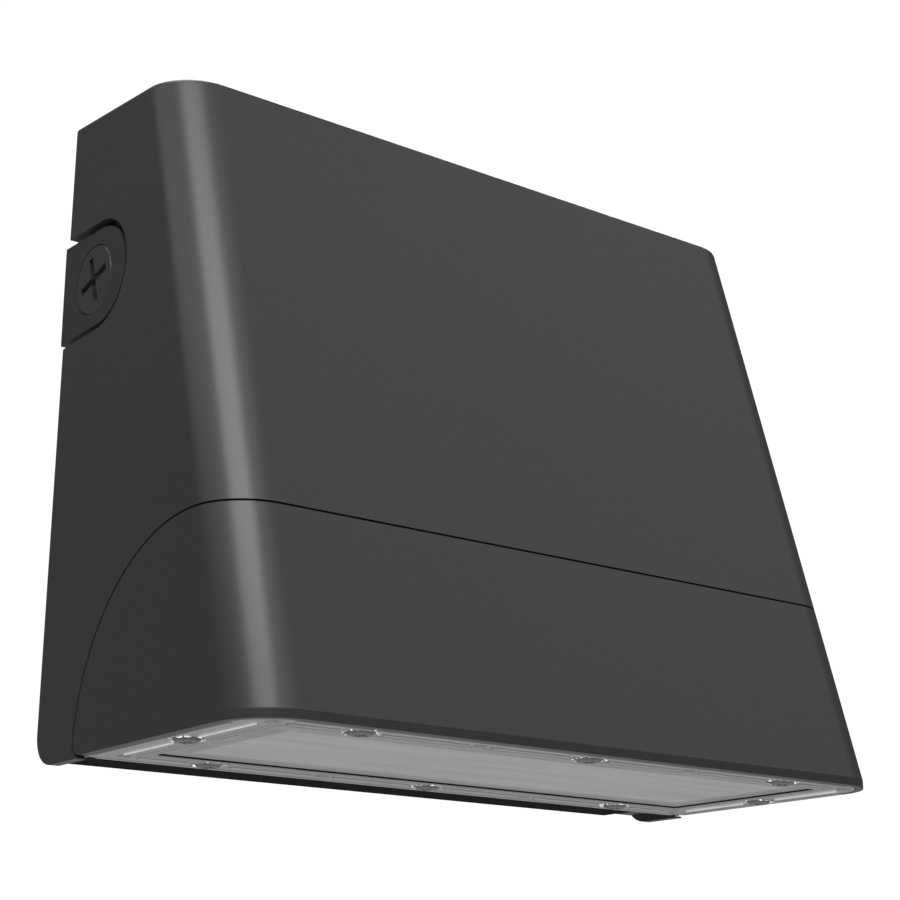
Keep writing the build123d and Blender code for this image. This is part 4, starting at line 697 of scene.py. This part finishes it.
def cup(x, y, draws):
    """A clear cup round a lens screw: a raised collar with uneven facets."""
    bpy.ops.object.select_all(action="DESELECT")
    bpy.ops.mesh.primitive_cylinder_add(vertices=CUP_FACETS, radius=CUP_RADIUS,
                                        depth=COLLAR_HEIGHT, location=(x, y, RIM_Z + COLLAR_LIFT))
    collar = settle(bpy.context.object, "cup")
    bottom = min(vertex.co.z for vertex in collar.data.vertices)
    select_where(collar, "FACE", lambda face: face.normal.z < FACES_DOWN)
    bpy.ops.mesh.inset(thickness=COLLAR_EDGE)
    bpy.ops.mesh.inset(thickness=COLLAR_SLOPE)
    bpy.ops.transform.translate(value=(0, 0, COLLAR_SLOPE_HEIGHT))
    bpy.ops.mesh.extrude_region_move(TRANSFORM_OT_translate={"value": (0, 0, COLLAR_WELL)})
    leave_edit()
    for vertex in collar.data.vertices:
        if vertex.co.z < bottom + FACET_DEPTH:
            vertex.co.z += draws.uniform(0.0, FACET_SWELL)
            vertex.co.x += draws.uniform(-FACET_SHIFT, FACET_SHIFT)
            vertex.co.y += draws.uniform(-FACET_SHIFT, FACET_SHIFT)
    return collar


def cups():
    """One cup for each of the eight lens screws."""
    draws = random.Random(CUP_SEED)
    places = [(x, y) for y in (CUP_ROW_FRONT, CUP_ROW_REAR) for x in (-CUP_X, 0, CUP_X)]
    places += [(-CUP_SIDE_X, CUP_SIDE_Y), (CUP_SIDE_X, CUP_SIDE_Y)]
    return [cup(x, y, draws) for x, y in places]


# ---- Lens ---------------------------------------------------------------------------------------
UPRIGHT = 0.2                      # an upright face's normal is more level than this
STEP_REACH = 0.1 * MM


def is_panel_step(face):
    """Whether the face is on the upright step between rim and panel."""
    return (abs(face.normal.z) < UPRIGHT
            and RIM_Z < face.center.z < PANEL_Z
            and abs(face.center.x) < PANEL_X + STEP_REACH
            and PANEL_FRONT - STEP_REACH < face.center.y < PANEL_REAR + STEP_REACH)


def lens_cover():
    """The clear lens with its ridges and cups, all in one moulding."""
    sheet = copy_of("lens", "lens_cover")
    sheet.data.materials.append(lens_finish())
    # Painted shade: the step between rim and panel gets a near-black finish
    coat_faces(sheet, step_shade_finish(), is_panel_step)
    details = [
        # painted highlight: the rim beads are lighter than the sheet
        (joined(rim_ridges(), "lens_beads"), bead_finish()),
        # painted highlight: the end beads are lighter and faintly emissive
        (joined(side_ridges(), "side_beads"), side_bead_painted_highlight_finish()),
        # painted glints: the cups carry emissive spots
        (joined(cups(), "lens_cups"), cup_finish()),
    ]
    for detail, finish in details:
        detail.data.materials.clear()
        detail.data.materials.append(finish)
    cover = joined([sheet] + [detail for detail, finish in details], "lens_cover")
    carry(cover, "lens", "front_body")


def dress_lens_screws():
    screws = frame["nodes"]["lens_screws"].data
    screws.materials.clear()
    screws.materials.append(screw_finish())


lens_cover()
dress_lens_screws()


# ---- Studio -------------------------------------------------------------------------------------
FLOOR_SIZE = 14
FLOOR_Z = -0.9
FLOOR_GLOW = 0.1
ROOM_LIGHT = 0.12                  # what the white room adds to the lamps
BACKDROP = 1.05                    # how bright the room itself shows behind the light

# Each softbox's place, the point it faces, its width and height in metres, and its watts.
SOFTBOXES = {
    "front_softbox": ((1.05, -1.4, 1.42), (0, -0.06, 0), (2.6, 2.0), 9),
    "side_softbox": ((-1.64, 0.02, 1.05), (-0.1, -0.08, 0), (2.4, 0.5), 6),
    "corner_softbox": ((-1.12, -1.05, 1.25), (-0.1, -0.08, 0), (1.2, 0.8), 21),
    "fill_softbox": ((-0.45, -1.47, 1.29), (-0.1, -0.08, 0), (1.2, 0.8), 5),
    "top_softbox": ((-0.2, 0.3, 1.5), (0, -0.06, 0.05), (1.2, 0.8), 8),
    "edge_softbox": ((1.2, 1.3, 1.05), (0, -0.06, 0.09), (0.9, 0.7), 20),
}

CAMERA_PLACE = (-0.360412, -0.507622, -0.174787)
CAMERA_TILT = math.radians(17.053)     # upwards
CAMERA_TURN = math.radians(-37.948)    # from straight at the wall, to the right
LEVEL = math.radians(90)               # a camera turned by this about x looks at the wall
SENSOR_WIDTH = 36
FOCAL_LENGTH = 79.017
NEAREST, FARTHEST = 0.02, 60           # what the camera shows, in metres


def studio_floor():
    """A plain pale floor."""
    bpy.ops.object.select_all(action="DESELECT")
    bpy.ops.mesh.primitive_plane_add(size=FLOOR_SIZE, location=(0, 0, FLOOR_Z))
    floor = bpy.context.object
    floor.name = "studio_floor"
    pale = clouded("studio_pale", cloud_size=800 * MM, shades=(0.80, 0.82),
                   roughness=(0.8, 0.9), Specular_IOR_Level=0.1, Emission_Color=WHITE,
                   Emission_Strength=FLOOR_GLOW)
    floor.data.materials.append(pale.material)


def white_room():
    """A white room that shows bright behind the light but adds little light of its own."""
    world = bpy.data.worlds.new("studio_world")
    bpy.context.scene.world = world
    world.use_nodes = True
    tree = world.node_tree
    background = next(n for n in tree.nodes if n.type == "BACKGROUND")
    background.inputs["Color"].default_value = WHITE
    background.inputs["Strength"].default_value = ROOM_LIGHT
    room = Signal(tree, background.outputs[0])
    backdrop = add_node(tree, "ShaderNodeBackground", {}, {"Color": WHITE, "Strength": BACKDROP})
    seen = add_node(tree, "ShaderNodeLightPath", {}, {}, "Is Camera Ray")
    blend = add_node(tree, "ShaderNodeMixShader", {}, {0: seen, 1: room, 2: backdrop})
    output = next(n for n in tree.nodes if n.type == "OUTPUT_WORLD")
    tree.links.new(blend.socket, output.inputs["Surface"])


def softbox(name, place, target, size, power):
    """A rectangular lamp at its place, turned to face the target."""
    light = bpy.data.lights.new(name, "AREA")
    light.shape = "RECTANGLE"
    light.size, light.size_y = size
    light.energy = power
    lamp = bpy.data.objects.new(name, light)
    lamp.location = place
    lamp.rotation_euler = (Vector(target) - Vector(place)).to_track_quat("-Z", "Y").to_euler()
    bpy.context.collection.objects.link(lamp)


def photo_camera():
    """The photograph's view: from the front left and below."""
    data = bpy.data.cameras.new("photo_camera")
    data.sensor_width = SENSOR_WIDTH
    data.lens = FOCAL_LENGTH
    data.clip_start, data.clip_end = NEAREST, FARTHEST
    camera = bpy.data.objects.new("photo_camera", data)
    camera.location = CAMERA_PLACE
    camera.rotation_euler = (LEVEL + CAMERA_TILT, 0, CAMERA_TURN)
    bpy.context.collection.objects.link(camera)
    bpy.context.scene.camera = camera


studio_floor()
white_room()
for lamp_name, settings in SOFTBOXES.items():
    softbox(lamp_name, *settings)
photo_camera()
bpy.context.scene.view_settings.view_transform = "Standard"
